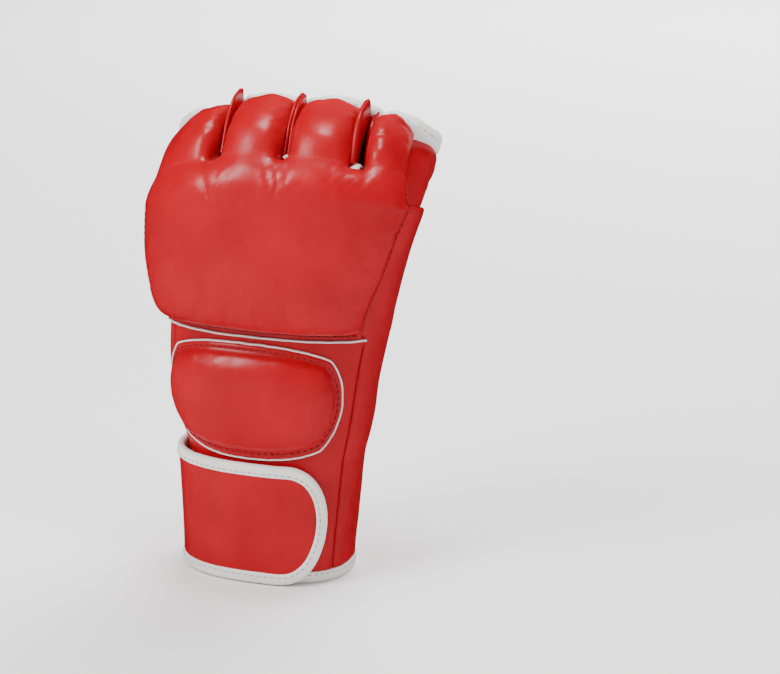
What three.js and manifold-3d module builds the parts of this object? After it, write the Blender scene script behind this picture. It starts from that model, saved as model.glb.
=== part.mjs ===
// A half-finger MMA glove for the left hand, standing on its cuff with the fingers up.
// Millimetres. +X is the thumb side, -Y the back of the hand, +Z the fingertips.
//
// The glove is a leather shell round the hand (back panel, side panels, wrist flaps, palm band),
// with a moulded foam knuckle pad on its back. Four finger stalls curl at the knuckle line,
// and a hook-and-loop strap goes round the wrist.
import * as THREE from "three";
import { mergeVertices } from "three/addons/utils/BufferGeometryUtils.js";
import Module from "manifold-3d";

const wasm = await Module();
wasm.setup();

// ---------------------------------------------------------------- driving dimensions

// The hand shell is a stack of rounded sections: height, half width, half depth, middle X and Y.
// It leans to the thumb side at the fingers.
const SHELL_SECTIONS = [
  [0, 38, 33, 0, 0],
  [62, 42, 33, 0, 0],
  [104, 49, 34, 0, -1],
  [127, 53, 35, 0, -1],
  [165, 60, 36, 1, -2],
  [206, 66, 36, 7, -2],
  [250, 67, 36, 11, -2],
];
const SHELL_SQUARENESS = 2.4; // exponent of the superellipse, 2 being an ellipse
const SHIFT_X = -4.65; // brings the middle of the glove's box to X = 0
const SHIFT_Y = 13.1; // and to Y = 0

const LEATHER = 1.8; // panels with their lining
const GAP = 0.3; // between neighbouring pieces
const LINING = 1;
const LINING_GAP = 0.5; // under the back panel
const ANGLE_GAP = 0.7; // degrees, the same gap at a seam down the shell

const SEAM_ANGLE = 28; // from the thumb side to the seam between the back and side panels
const TAPE_HEIGHT = 6; // white binding tape
const TAPE_PROUD = 0.7; // of the panel it binds, on both faces
const EDGE_TAPE = 8; // degrees, the tape on the upright edges of the palm opening
const PALM_SPLIT = 90; // angle of the gap between the wrist flaps
const PALM_SPLIT_HALF = 5;
const THUMB_EDGE = 40; // palm edge of the thumb side panel
const PINKY_EDGE = 124; // palm edge of the little-finger side panel
const FLAP_TOP = 66; // lower edge of the palm opening
const PALM_BAND_LOW = 160;
const PALM_BAND_HIGH = 186;
const SIDE_TOP_DROP = 14; // the side panels end lower on the palm, so that the stalls can curl

const PAD_SEAM_Z = 127; // where the knuckle pad meets the back panel
const PAD_THICK = 28; // knuckle pad at its crown
const PAD_EDGE = 5; // knuckle pad at its seams
const PAD_COVER = 1.6;
const PAD_ROUNDING = 26; // width of the pad's rounded border
const PAD_WIDTH_SHARE = 0.895; // of the shell's half width

const KNUCKLE_Z = 203;
const KNUCKLE_DEPTH = 29; // from the back of the hand down to the knuckle axis
const STALL_START = 3.5; // degrees past the knuckle line where a stall's pad starts
const SLIT_Z = 210; // the slits between the fingers start here
const SLIT_HALF = 2.5; // half the width between two fingers' pads
const WALL = 1.8; // leather between two fingers, one layer for each stall
const WALL_PROUD = 12; // of the stall's back, in the groove between two pads
const STALL_INSET = 1.6; // of the stalls inside the shell
const END_TAPE = 3.5; // how far the tape stands past a stall's open end
const STALL_BACK = 62; // half the width over the four stalls' backs
const PALM_STRIP_TOP = 15; // above a finger's knuckle axis
const PALM_STRIP_LOW = 12; // below it

// Finger: name, lowest and highest X, knuckle height, curl of the back at rest, straight end.
const FINGERS = [
  { name: "pinky", x0: -62, x1: -22, z: KNUCKLE_Z - 8, curl: 74, tip: 5 },
  { name: "ring", x0: -22, x1: 11, z: KNUCKLE_Z, curl: 76, tip: 8 },
  { name: "middle", x0: 11, x1: 45, z: KNUCKLE_Z, curl: 70, tip: 9 },
  { name: "index", x0: 45, x1: 77, z: KNUCKLE_Z - 5, curl: 66, tip: 7 },
];

// The strap, with its lengths as angles round the shell from where it is sewn down on the palm.
const STRAP = { low: 0.3, high: 62, inner: 4.5, thick: 2.4, tape: 5.5 };
const STRAP_ROOT = 62;
const STRAP_SWING = 182; // round the little-finger side
const STRAP_PEEL = 262; // on the back of the wrist
const STRAP_ARC = 286; // where the rounded end starts
const STRAP_END = 316;
const STRAP_CLEARANCE = 0.6; // degrees between the strap's lengths

const WRIST_PAD = { low: 64, high: 122, from: -150, to: -41, thick: 11, edge: 4.2, flange: 4 };

// ---------------------------------------------------------------- the hand shell's surface

const radians = THREE.MathUtils.degToRad;

// Smooth interpolation of the shell's half width, half depth, middle X and middle Y at a height.
const sectionCurve = [1, 2, 3, 4].map(
  (column) => new THREE.SplineCurve(SHELL_SECTIONS.map((s) => new THREE.Vector2(s[0], s[column]))),
);
function section(z) {
  const last = SHELL_SECTIONS.length - 1;
  let i = 0;
  while (i < last - 1 && SHELL_SECTIONS[i + 1][0] < z) i += 1;
  const [z0, z1] = [SHELL_SECTIONS[i][0], SHELL_SECTIONS[i + 1][0]];
  const share = THREE.MathUtils.clamp((z - z0) / (z1 - z0), 0, 1);
  return sectionCurve.map((curve) => curve.getPoint((i + share) / last).y);
}

const signedPower = (value, power) => Math.sign(value) * Math.abs(value) ** power;

// Point on the shell: angle in degrees, 0 on the thumb side, -90 on the back, 90 on the palm.
function shellPoint(angle, z, offset = 0) {
  const [halfWidth, halfDepth, middleX, middleY] = section(z);
  const power = 2 / SHELL_SQUARENESS;
  return new THREE.Vector3(
    middleX + (halfWidth + offset) * signedPower(Math.cos(radians(angle)), power),
    middleY + (halfDepth + offset) * signedPower(Math.sin(radians(angle)), power),
    z,
  );
}

// Y of the back of the hand at a width and a height.
function backY(x, z) {
  const [halfWidth, halfDepth, middleX, middleY] = section(z);
  const share = Math.min(Math.abs((x - middleX) / halfWidth), 1) ** SHELL_SQUARENESS;
  return middleY - halfDepth * (1 - share) ** (1 / SHELL_SQUARENESS);
}

// ---------------------------------------------------------------- geometry helpers

// A closed solid from point(u, v, t) with u, v and t from 0 to 1: two faces and the four edges.
function slab(point, columns, rows) {
  const positions = [];
  const index = [];
  for (const t of [0, 1])
    for (let j = 0; j <= rows; j += 1)
      for (let i = 0; i <= columns; i += 1) positions.push(...point(i / columns, j / rows, t));
  const at = (i, j, t) => (t * (rows + 1) + j) * (columns + 1) + i;
  const quad = (a, b, c, d) => index.push(a, b, c, a, c, d);
  for (let j = 0; j < rows; j += 1)
    for (let i = 0; i < columns; i += 1) {
      quad(at(i, j, 1), at(i + 1, j, 1), at(i + 1, j + 1, 1), at(i, j + 1, 1));
      quad(at(i, j, 0), at(i, j + 1, 0), at(i + 1, j + 1, 0), at(i + 1, j, 0));
    }
  for (let i = 0; i < columns; i += 1) {
    quad(at(i, 0, 0), at(i + 1, 0, 0), at(i + 1, 0, 1), at(i, 0, 1));
    quad(at(i + 1, rows, 0), at(i, rows, 0), at(i, rows, 1), at(i + 1, rows, 1));
  }
  for (let j = 0; j < rows; j += 1) {
    quad(at(0, j + 1, 0), at(0, j, 0), at(0, j, 1), at(0, j + 1, 1));
    quad(at(columns, j, 0), at(columns, j + 1, 0), at(columns, j + 1, 1), at(columns, j, 1));
  }
  return facingOut(positions, index);
}

// A closed ring from point(along, across, t), where along 0 and 1 are the same place.
function ring(point, steps) {
  const positions = [];
  const index = [];
  const corners = [[0, 0], [1, 0], [1, 1], [0, 1]];
  for (let i = 0; i < steps; i += 1)
    for (const [across, t] of corners) positions.push(...point(i / steps, across, t));
  for (let i = 0; i < steps; i += 1)
    for (let k = 0; k < corners.length; k += 1) {
      const next = ((i + 1) % steps) * corners.length;
      const here = i * corners.length;
      const other = (k + 1) % corners.length;
      index.push(here + k, next + k, next + other, here + k, next + other, here + other);
    }
  return facingOut(positions, index);
}

// An indexed geometry whose faces point out, whichever way round the parameters run.
function facingOut(positions, index) {
  let volume = 0;
  const [a, b, c] = [new THREE.Vector3(), new THREE.Vector3(), new THREE.Vector3()];
  for (let i = 0; i < index.length; i += 3) {
    a.fromArray(positions, 3 * index[i]);
    b.fromArray(positions, 3 * index[i + 1]);
    c.fromArray(positions, 3 * index[i + 2]);
    volume += a.dot(b.cross(c));
  }
  if (volume < 0) index.reverse();
  const geometry = new THREE.BufferGeometry();
  geometry.setAttribute("position", new THREE.Float32BufferAttribute(positions, 3));
  return geometry.setIndex(index);
}

function toSolid(geometry) {
  const bare = geometry.clone();
  bare.deleteAttribute("normal");
  bare.deleteAttribute("uv");
  const merged = mergeVertices(bare, 1e-4);
  return new wasm.Manifold(
    new wasm.Mesh({
      numProp: 3,
      vertProperties: merged.attributes.position.array,
      triVerts: new Uint32Array(merged.index.array),
    }),
  );
}

function toGeometry(solid) {
  const made = solid.getMesh();
  const geometry = new THREE.BufferGeometry();
  geometry.setAttribute("position", new THREE.Float32BufferAttribute(made.vertProperties, 3));
  return geometry.setIndex(new THREE.BufferAttribute(made.triVerts, 1));
}

// A YZ outline extruded from x0 to x1.
function extrudeAlongX(outline, x0, x1) {
  const shape = new THREE.Shape(outline.map(([y, z]) => new THREE.Vector2(y, z)));
  const geometry = new THREE.ExtrudeGeometry(shape, { depth: x1 - x0, bevelEnabled: false });
  const axes = new THREE.Matrix4().makeBasis(
    new THREE.Vector3(0, 1, 0),
    new THREE.Vector3(0, 0, 1),
    new THREE.Vector3(1, 0, 0),
  );
  return toSolid(geometry.applyMatrix4(axes).translate(x0, 0, 0));
}

// The shell's outline at a height, extruded from z0 to z1, with an offset outwards.
function extrudeSection(z, offset, z0, z1) {
  const points = [];
  for (let angle = 0; angle < 360; angle += 7.5) {
    const p = shellPoint(angle, z, offset);
    points.push(new THREE.Vector2(p.x, p.y));
  }
  const settings = { depth: z1 - z0, bevelEnabled: false };
  return toSolid(new THREE.ExtrudeGeometry(new THREE.Shape(points), settings).translate(0, 0, z0));
}

// ---------------------------------------------------------------- materials and the group

const red = new THREE.MeshStandardMaterial({ color: 0xcf1a1c, roughness: 0.38 });
const white = new THREE.MeshStandardMaterial({ color: 0xe6e2e0, roughness: 0.5 });
const foam = new THREE.MeshStandardMaterial({ color: 0xdedccf, roughness: 0.9 });
const fabric = new THREE.MeshStandardMaterial({ color: 0x1b1b1d, roughness: 0.95 });
const tape = new THREE.MeshStandardMaterial({ color: 0x141414, roughness: 1 });

const glove = new THREE.Group();
glove.position.set(SHIFT_X, SHIFT_Y, 0);

function add(name, geometry, material) {
  const mesh = new THREE.Mesh(geometry, material);
  mesh.name = name;
  glove.add(mesh);
}

// A panel of the shell: angles and heights may be numbers or functions of the other parameter.
function panel({ from, to, low, high, inner = 0, outer = LEATHER, columns = 8, rows = 8 }) {
  const value = (bound, share) => (typeof bound === "function" ? bound(share) : bound);
  return slab(
    (u, v, t) => {
      const angle = THREE.MathUtils.lerp(value(from, v), value(to, v), u);
      const z = THREE.MathUtils.lerp(value(low, u), value(high, u), v);
      return shellPoint(angle, z, t ? outer : inner);
    },
    columns,
    rows,
  );
}

// ---------------------------------------------------------------- wrist and hand panels

function addHandPanels() {
  const backFrom = SEAM_ANGLE - 180;
  const backTo = -SEAM_ANGLE;
  const low = TAPE_HEIGHT + GAP;
  const back = { from: backFrom, to: backTo, low };
  add("back_panel", panel({ ...back, high: PAD_SEAM_Z - GAP, columns: 14, rows: 6 }), red);
  const liningTop = KNUCKLE_Z - 12;
  const liningFaces = { inner: -LINING - LINING_GAP, outer: -LINING_GAP };
  add("back_lining", panel({ ...back, high: liningTop, ...liningFaces, columns: 12 }), fabric);

  const thumbTop = (u) => KNUCKLE_Z - 7 - SIDE_TOP_DROP * u;
  const thumbSide = { from: backTo + ANGLE_GAP, to: THUMB_EDGE, low, high: thumbTop };
  add("thumb_side_panel", panel({ ...thumbSide, rows: 10 }), red);
  const pinkyTop = (u) => KNUCKLE_Z - 12 - SIDE_TOP_DROP * u;
  const pinkySide = { from: backFrom - ANGLE_GAP, to: PINKY_EDGE - 360, low, high: pinkyTop };
  add("pinky_side_panel", panel({ ...pinkySide, columns: 9, rows: 10 }), red);

  const flapTop = FLAP_TOP - TAPE_HEIGHT - GAP;
  const thumbFlap = { from: THUMB_EDGE + ANGLE_GAP, to: PALM_SPLIT - PALM_SPLIT_HALF };
  add("thumb_wrist_flap", panel({ ...thumbFlap, low, high: flapTop, rows: 4 }), red);
  const pinkyFlap = { from: PALM_SPLIT + PALM_SPLIT_HALF, to: PINKY_EDGE - ANGLE_GAP };
  add("pinky_wrist_flap", panel({ ...pinkyFlap, low, high: flapTop, rows: 4 }), red);

  const band = { from: THUMB_EDGE + ANGLE_GAP, to: PINKY_EDGE - ANGLE_GAP };
  const bandLow = PALM_BAND_LOW + TAPE_HEIGHT + GAP;
  add("palm_band", panel({ ...band, low: bandLow, high: PALM_BAND_HIGH, columns: 10, rows: 3 }), red);
}

function addBindings() {
  const faces = { inner: -TAPE_PROUD, outer: LEATHER + TAPE_PROUD };
  const around = { from: PALM_SPLIT + PALM_SPLIT_HALF - 360, to: PALM_SPLIT - PALM_SPLIT_HALF };
  const cuff = { ...around, low: 0, high: TAPE_HEIGHT, ...faces, columns: 48, rows: 1 };
  add("cuff_binding", panel(cuff), white);

  // The edges of the palm opening: along the palm band and along the tops of the wrist flaps.
  const across = { from: THUMB_EDGE + ANGLE_GAP, to: PINKY_EDGE - ANGLE_GAP, ...faces, rows: 1 };
  const bandTape = { low: PALM_BAND_LOW, high: PALM_BAND_LOW + TAPE_HEIGHT, columns: 10 };
  add("palm_band_binding", panel({ ...across, ...bandTape }), white);
  // The opening's two upright edges.
  const upright = { low: FLAP_TOP + GAP, high: PALM_BAND_LOW - GAP, ...faces, columns: 1, rows: 10 };
  const thumbEdge = { from: THUMB_EDGE + ANGLE_GAP, to: THUMB_EDGE + EDGE_TAPE };
  add("thumb_edge_binding", panel({ ...thumbEdge, ...upright }), white);
  const pinkyEdge = { from: PINKY_EDGE - EDGE_TAPE, to: PINKY_EDGE - ANGLE_GAP };
  add("pinky_edge_binding", panel({ ...pinkyEdge, ...upright }), white);
  const flapTape = { low: FLAP_TOP - TAPE_HEIGHT, high: FLAP_TOP, ...faces, rows: 1, columns: 6 };
  const thumbFlap = { from: THUMB_EDGE + ANGLE_GAP, to: PALM_SPLIT - PALM_SPLIT_HALF };
  add("thumb_flap_binding", panel({ ...thumbFlap, ...flapTape }), white);
  const pinkyFlap = { from: PALM_SPLIT + PALM_SPLIT_HALF, to: PINKY_EDGE - ANGLE_GAP };
  add("pinky_flap_binding", panel({ ...pinkyFlap, ...flapTape }), white);
}

// ---------------------------------------------------------------- knuckle pad

// X across the pad at a height, for u from 0 to 1.
function padX(u, z) {
  const [halfWidth, , middleX] = section(z);
  return middleX + (2 * u - 1) * PAD_WIDTH_SHARE * halfWidth;
}

// Share of a finger's full padding across its width, thinner towards the slits.
function crown(share) {
  return 0.5 + 0.5 * Math.sqrt(1 - Math.abs(2 * share - 1) ** 3);
}

// Columns of the pad: where each runs, as a share of the width, and how high it goes.
const PAD_COLUMNS = FINGERS.flatMap((finger) => {
  const top = finger.z - GAP;
  const [least, most] = [padX(0, top), padX(1, top)];
  const from = Math.max(finger.x0 + SLIT_HALF, least);
  const to = Math.min(finger.x1 - SLIT_HALF, most);
  return [0, 0.2, 0.4, 0.6, 0.8, 1].map((share) => {
    const x = THREE.MathUtils.lerp(from, to, share);
    return { share: (x - least) / (most - least), top, crown: crown(share) };
  });
});

// Outward normal of the back of the hand, in the XY plane.
function backNormal(x, z) {
  const step = 0.5;
  const slope = (backY(x + step, z) - backY(x - step, z)) / (2 * step);
  return new THREE.Vector3(slope, -1, 0).normalize();
}

// A quarter round that rises from 0 at an edge to 1 at a distance of PAD_ROUNDING.
function rounded(distance) {
  const rest = 1 - Math.min(Math.max(distance, 0) / PAD_ROUNDING, 1);
  return Math.sqrt(1 - rest * rest);
}

// Thickness of the pad at a width and a height, without the grooves.
function padThickness(x, z) {
  const [halfWidth, , middleX] = section(z);
  const toSide = PAD_WIDTH_SHARE * halfWidth - Math.abs(x - middleX);
  const round = rounded(toSide) * rounded((z - PAD_SEAM_Z) * 1.2 + 4);
  return PAD_EDGE + (PAD_THICK - PAD_EDGE) * round;
}

// The layer of the pad over the hand between two depths, each a function of the thickness.
function padLayer(innerOf, outerOf) {
  const columns = PAD_COLUMNS.length - 1;
  const rows = 8;
  return slab(
    (u, v, t) => {
      const column = PAD_COLUMNS[Math.round(u * columns)];
      const z = THREE.MathUtils.lerp(PAD_SEAM_Z, column.top, v);
      const x = padX(column.share, z);
      const groove = THREE.MathUtils.smoothstep(v, 0.55, 1);
      const thickness = padThickness(x, z) * THREE.MathUtils.lerp(1, column.crown, groove);
      const depth = t ? outerOf(thickness) : innerOf(thickness);
      return backNormal(x, z).multiplyScalar(depth).add(new THREE.Vector3(x, backY(x, z), z));
    },
    columns,
    rows,
  );
}

function addKnucklePad() {
  const foamOuter = (thickness) => thickness - PAD_COVER - GAP;
  add("knuckle_pad_foam", padLayer(() => GAP, foamOuter), foam);
  add("knuckle_pad_cover", padLayer((thickness) => thickness - PAD_COVER, (t) => t), red);

  const seam = { from: SEAM_ANGLE - 178, to: -SEAM_ANGLE - 2, rows: 1, columns: 14 };
  const faces = { inner: LEATHER + GAP, outer: LEATHER + GAP + 1.1 };
  add("pad_seam_welt", panel({ ...seam, low: PAD_SEAM_Z - 3, high: PAD_SEAM_Z - GAP, ...faces }), white);

  // Tape round the foot of each slit between two fingers.
  ["pinky_ring", "ring_middle", "middle_index"].forEach((name, i) => {
    const x = FINGERS[i].x1;
    const back = backY(x, KNUCKLE_Z);
    const outline = new THREE.Shape();
    outline.absarc(0, back - 12, 2.1, Math.PI, 2 * Math.PI);
    outline.lineTo(2.1, back + 4);
    outline.lineTo(-2.1, back + 4);
    const settings = { depth: 3, bevelEnabled: false, curveSegments: 6 };
    const geometry = new THREE.ExtrudeGeometry(outline, settings);
    add("crotch_binding_" + name, geometry.translate(x, 0, KNUCKLE_Z), white);
  });
}

// ---------------------------------------------------------------- wrist pad

// Place on the wrist pad: p and q from -1 to 1 fill its rounded outline, inset by some millimetres.
function wristPadPlace(p, q, inset) {
  const { from, to, low, high } = WRIST_PAD;
  const corner = 0.42;
  const millimetresPerDegree = 0.8;
  const halfAngle = (to - from) / 2 - inset / millimetresPerDegree;
  const halfHeight = (high - low) / 2 - inset;
  return {
    angle: (from + to) / 2 + halfAngle * p * Math.sqrt(1 - corner * q * q),
    z: (low + high) / 2 + halfHeight * q * Math.sqrt(1 - corner * p * p),
  };
}

function wristPadLayer(innerOf, outerOf) {
  return slab(
    (u, v, t) => {
      const [p, q] = [2 * u - 1, 2 * v - 1];
      const { angle, z } = wristPadPlace(p, q, WRIST_PAD.flange + GAP);
      const dome = (1 - p ** 4) * (1 - q ** 4);
      const thickness = WRIST_PAD.edge + (WRIST_PAD.thick - WRIST_PAD.edge) * dome;
      return shellPoint(angle, z, LEATHER + (t ? outerOf(thickness) : innerOf(thickness)));
    },
    14,
    10,
  );
}

function addWristPad() {
  add("wrist_pad_foam", wristPadLayer(() => GAP, (t) => t - PAD_COVER - GAP), foam);
  add("wrist_pad_cover", wristPadLayer((t) => t - PAD_COVER, (t) => t), red);
  const steps = 40;
  const flange = ring((along, across, t) => {
    // Once round the border of the square of p and q.
    const side = Math.floor(along * 4);
    const share = 2 * (along * 4 - side) - 1;
    const [p, q] = [[share, -1], [1, share], [-share, 1], [-1, -share]][side];
    const { angle, z } = wristPadPlace(p, q, across ? WRIST_PAD.flange : 0);
    return shellPoint(angle, z, LEATHER + GAP + 1.2 * t);
  }, steps);
  add("wrist_pad_flange", flange, red);
}

// ---------------------------------------------------------------- finger stalls

// The knuckle axis runs along X through this Y, one for each finger.
const knuckleY = (finger) => backY((finger.x0 + finger.x1) / 2, finger.z) + KNUCKLE_DEPTH;

// Point of a finger's side view at a radius and an angle past the knuckle line.
function curlPoint(finger, radius, angle, along = 0) {
  const [sine, cosine] = [Math.sin(radians(angle)), Math.cos(radians(angle))];
  return [
    knuckleY(finger) - radius * cosine + along * sine,
    finger.z + radius * sine + along * cosine,
  ];
}

// Side view of a stall out to a radius, grown at its two open ends by some millimetres.
function stallOutline(finger, radius, palmY, grow = 0) {
  const start = Math.asin((SLIT_Z - grow - finger.z) / radius) * THREE.MathUtils.RAD2DEG;
  const points = [];
  for (let i = 0; i <= 8; i += 1)
    points.push(curlPoint(finger, radius, THREE.MathUtils.lerp(start, finger.curl, i / 8)));
  points.push(curlPoint(finger, radius, finger.curl, finger.tip + grow));
  if (radius > KNUCKLE_DEPTH) points.push(curlPoint(finger, KNUCKLE_DEPTH, finger.curl, finger.tip));
  points.push([palmY, finger.z + PALM_STRIP_TOP + grow]);
  points.push([palmY, finger.z - PALM_STRIP_LOW - grow]);
  points.push([knuckleY(finger) + 6, SLIT_Z - 4 - grow]);
  return points;
}

function addStall(finger) {
  const { name, x0, x1 } = finger;
  const clear = 0.4;
  const palmY = shellPoint(90, finger.z).y - STALL_INSET;
  const [low, high] = [x0 + clear, x1 - clear];
  const middleX = section(KNUCKLE_Z)[2];
  const across = (inset) => extrudeSection(KNUCKLE_Z, -inset, 150, 290);
  const back = extrudeAlongX(stallOutline(finger, KNUCKLE_DEPTH, palmY), low, high);
  const hollow = extrudeAlongX(
    stallOutline(finger, KNUCKLE_DEPTH - WALL, palmY - WALL, 8),
    low + WALL,
    high - WALL,
  );
  // The shell rounds the palm side; the back of a stall stays square under its pad.
  const box = (x, y0, y1) => extrudeAlongX([[y0, 150], [y1, 150], [y1, 290], [y0, 290]], x[0], x[1]);
  const inside = STALL_BACK - WALL;
  const rounding = across(STALL_INSET).add(box([middleX - STALL_BACK, middleX + STALL_BACK], -60, 0));
  const hollowRounding = across(STALL_INSET + WALL).add(box([middleX - inside, middleX + inside], -60, 0));
  let sleeve = back.intersect(rounding).subtract(hollow.intersect(hollowRounding));
  const walls = [];
  if (name !== "pinky") walls.push([low, low + WALL]);
  if (name !== "index") walls.push([high - WALL, high]);
  for (const [a, b] of walls)
    sleeve = sleeve.add(extrudeAlongX(stallOutline(finger, KNUCKLE_DEPTH + WALL_PROUD, palmY), a, b)
      .intersect(across(STALL_INSET).add(box([a, b], -90, 0))));
  add(name + "_stall", toGeometry(sleeve), red);

  // The stall's share of the knuckle pad, on its back.
  const padX0 = Math.max(x0 + SLIT_HALF, middleX - STALL_BACK);
  const padX1 = Math.min(x1 - SLIT_HALF, middleX + STALL_BACK);
  const middle = (padX0 + padX1) / 2;
  const layer = (innerOf, outerOf) =>
    slab(
      (u, v, t) => {
        const x = THREE.MathUtils.lerp(padX0, padX1, u);
        const over = backY(middle, finger.z) - backY(x, finger.z) + padThickness(x, finger.z);
        const taper = (1 - v ** 2.6) ** 0.6;
        const thickness = Math.max(PAD_EDGE, Math.min(over, PAD_THICK) * crown(u) * taper);
        const radius = KNUCKLE_DEPTH + (t ? outerOf(thickness) : innerOf(thickness));
        const bend = 0.84; // share of v on the bend, the rest being the straight end
        const angle = THREE.MathUtils.lerp(STALL_START, finger.curl, Math.min(v / bend, 1));
        const along = Math.max(0, (v - bend) / (1 - bend)) * (finger.tip - GAP);
        return [x, ...curlPoint(finger, radius, angle, along)];
      },
      8,
      10,
    );
  add(name + "_pad_foam", layer(() => GAP, (t) => t - PAD_COVER - GAP), foam);
  add(name + "_pad_cover", layer((t) => t - PAD_COVER, (t) => t), red);

  // White tape round the open end, past the stall's own edge, over the end of its pad.
  const rim = (grow) => [
    curlPoint(finger, KNUCKLE_DEPTH + PAD_EDGE, finger.curl, finger.tip + grow),
    curlPoint(finger, KNUCKLE_DEPTH, finger.curl, finger.tip + grow),
    [palmY, finger.z + PALM_STRIP_TOP + grow],
  ];
  const hole = [
    curlPoint(finger, KNUCKLE_DEPTH - WALL, finger.curl, finger.tip - 2),
    curlPoint(finger, KNUCKLE_DEPTH - WALL, finger.curl, finger.tip + 9),
    [palmY - WALL, finger.z + PALM_STRIP_TOP + 12],
    [palmY - WALL, finger.z + PALM_STRIP_TOP - 2],
  ];
  const outline = [...rim(GAP), ...rim(GAP + END_TAPE).reverse()];
  const binding = extrudeAlongX(outline, low, high)
    .intersect(rounding)
    .subtract(extrudeAlongX(hole, low + WALL, high - WALL).intersect(hollowRounding));
  add(name + "_end_binding", toGeometry(binding), white);
}

// ---------------------------------------------------------------- strap

function strapLength(name, from, to) {
  const { low, high, inner, thick, tape: width } = STRAP;
  const ends = { from: from + STRAP_CLEARANCE, to: to - STRAP_CLEARANCE, inner, outer: inner + thick };
  const columns = Math.ceil((to - from) / 7);
  add(name, panel({ ...ends, low: low + width + GAP, high: high - width - GAP, columns, rows: 3 }), red);
  const tapes = { ...ends, columns, rows: 1 };
  add(name + "_lower_binding", panel({ ...tapes, low, high: low + width }), white);
  add(name + "_upper_binding", panel({ ...tapes, low: high - width, high }), white);
}

// The rounded end of the strap, with its edge inset by some millimetres.
function strapEndAngle(z, inset) {
  const { low, high } = STRAP;
  const across = (z - (low + high) / 2) / ((high - low) / 2 - inset);
  const end = STRAP_END - inset / 0.8;
  return STRAP_ARC + (end - STRAP_ARC) * Math.sqrt(Math.max(0, 1 - across * across));
}

function addStrap() {
  strapLength("strap_root", STRAP_ROOT, STRAP_SWING);
  strapLength("strap_band", STRAP_SWING, STRAP_PEEL);

  const { low, high, inner, thick, tape: width } = STRAP;
  const middle = (low + high) / 2;
  const start = STRAP_PEEL + STRAP_CLEARANCE;
  const inset = width + GAP;
  const edgeHeight = (share, edgeInset) =>
    middle - ((high - low) / 2 - edgeInset) * Math.cos(share * Math.PI);
  const face = slab(
    (u, v, t) => {
      const z = edgeHeight(v, inset);
      const angle = THREE.MathUtils.lerp(start, strapEndAngle(z, inset), u);
      return shellPoint(angle, z, inner + thick * t);
    },
    8,
    12,
  );
  add("strap_tip", face, red);

  // Its tape runs out along the lower edge, round the end and back along the upper edge.
  const straight = 0.25;
  const edge = (share, edgeInset) => {
    if (share < straight)
      return [THREE.MathUtils.lerp(start, STRAP_ARC, share / straight), edgeHeight(0, edgeInset)];
    if (share > 1 - straight)
      return [THREE.MathUtils.lerp(start, STRAP_ARC, (1 - share) / straight), edgeHeight(1, edgeInset)];
    const z = edgeHeight((share - straight) / (1 - 2 * straight), edgeInset);
    return [strapEndAngle(z, edgeInset), z];
  };
  const tapeSlab = slab(
    (u, v, t) => {
      const [angle, z] = edge(v, u * width);
      return shellPoint(angle, z, inner + thick * t);
    },
    1,
    32,
  );
  add("strap_tip_binding", tapeSlab, white);

  const hooks = { from: STRAP_PEEL + 3, to: STRAP_ARC + 8, low: 14, high: 49 };
  const hookFaces = { inner: LEATHER + 1.7, outer: STRAP.inner - GAP };
  add("hook_tape", panel({ ...hooks, ...hookFaces, columns: 7, rows: 2 }), tape);
  const loops = { from: -128, to: -46, low: 12, high: 51 };
  const loopFaces = { inner: LEATHER + GAP, outer: LEATHER + 1.4 };
  add("loop_tape", panel({ ...loops, ...loopFaces, columns: 12, rows: 2 }), tape);
}

addHandPanels();
addBindings();
addKnucklePad();
addWristPad();
FINGERS.forEach(addStall);
addStrap();

export default glove;
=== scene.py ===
"""The looks of a half-finger grappling glove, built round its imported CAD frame.

Lengths are millimetres until a mesh is made, where +X is the thumb side, -Y the back of the hand
and +Z the fingertips. The shell's dimensions are the part's own, except that the wrist is a little
wider on the little-finger side, as in the photo.
"""

import math
from collections import namedtuple

import bmesh
import bpy
import numpy as np
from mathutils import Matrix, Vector, noise


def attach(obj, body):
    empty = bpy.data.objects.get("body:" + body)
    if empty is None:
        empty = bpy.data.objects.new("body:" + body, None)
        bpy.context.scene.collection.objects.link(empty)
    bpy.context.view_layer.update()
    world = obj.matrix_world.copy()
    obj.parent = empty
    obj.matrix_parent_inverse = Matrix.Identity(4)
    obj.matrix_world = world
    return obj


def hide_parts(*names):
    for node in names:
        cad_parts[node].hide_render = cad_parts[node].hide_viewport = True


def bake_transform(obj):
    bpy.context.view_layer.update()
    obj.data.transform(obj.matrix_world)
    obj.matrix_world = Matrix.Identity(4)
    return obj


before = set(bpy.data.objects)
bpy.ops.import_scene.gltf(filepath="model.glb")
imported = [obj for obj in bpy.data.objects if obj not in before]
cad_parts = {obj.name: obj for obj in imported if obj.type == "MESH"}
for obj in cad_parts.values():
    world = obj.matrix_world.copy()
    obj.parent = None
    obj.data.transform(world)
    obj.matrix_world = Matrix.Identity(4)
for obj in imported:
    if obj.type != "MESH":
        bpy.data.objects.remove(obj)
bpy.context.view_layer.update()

MM = 0.001
SHIFT = np.array([-4.65, 13.1, 0.0])  # of the glove in the frame, in millimetres
UP = np.array([0, 0, 1.0])

# ------------------------------------------------------------------ camera, floor and lights

CAMERA_AZIMUTH = 17.0  # degrees from -Y towards +X
CAMERA_HEIGHT = 14.0  # degrees above the horizon
CAMERA_DISTANCE = 1.25
CAMERA_ROLL = 1.8  # the photo's glove leans a little to the right
TARGET = Vector((0, 0, 0.12))
FOCAL = 116.2
PICTURE_SHIFT = (0.136, 0.003)  # the glove stands left of the picture's middle


def direction(azimuth, height):
    """Unit vector from the target to a point at an azimuth and a height, in degrees."""
    a, h = math.radians(azimuth), math.radians(height)
    return Vector((math.sin(a) * math.cos(h), -math.cos(a) * math.cos(h), math.sin(h)))


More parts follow.
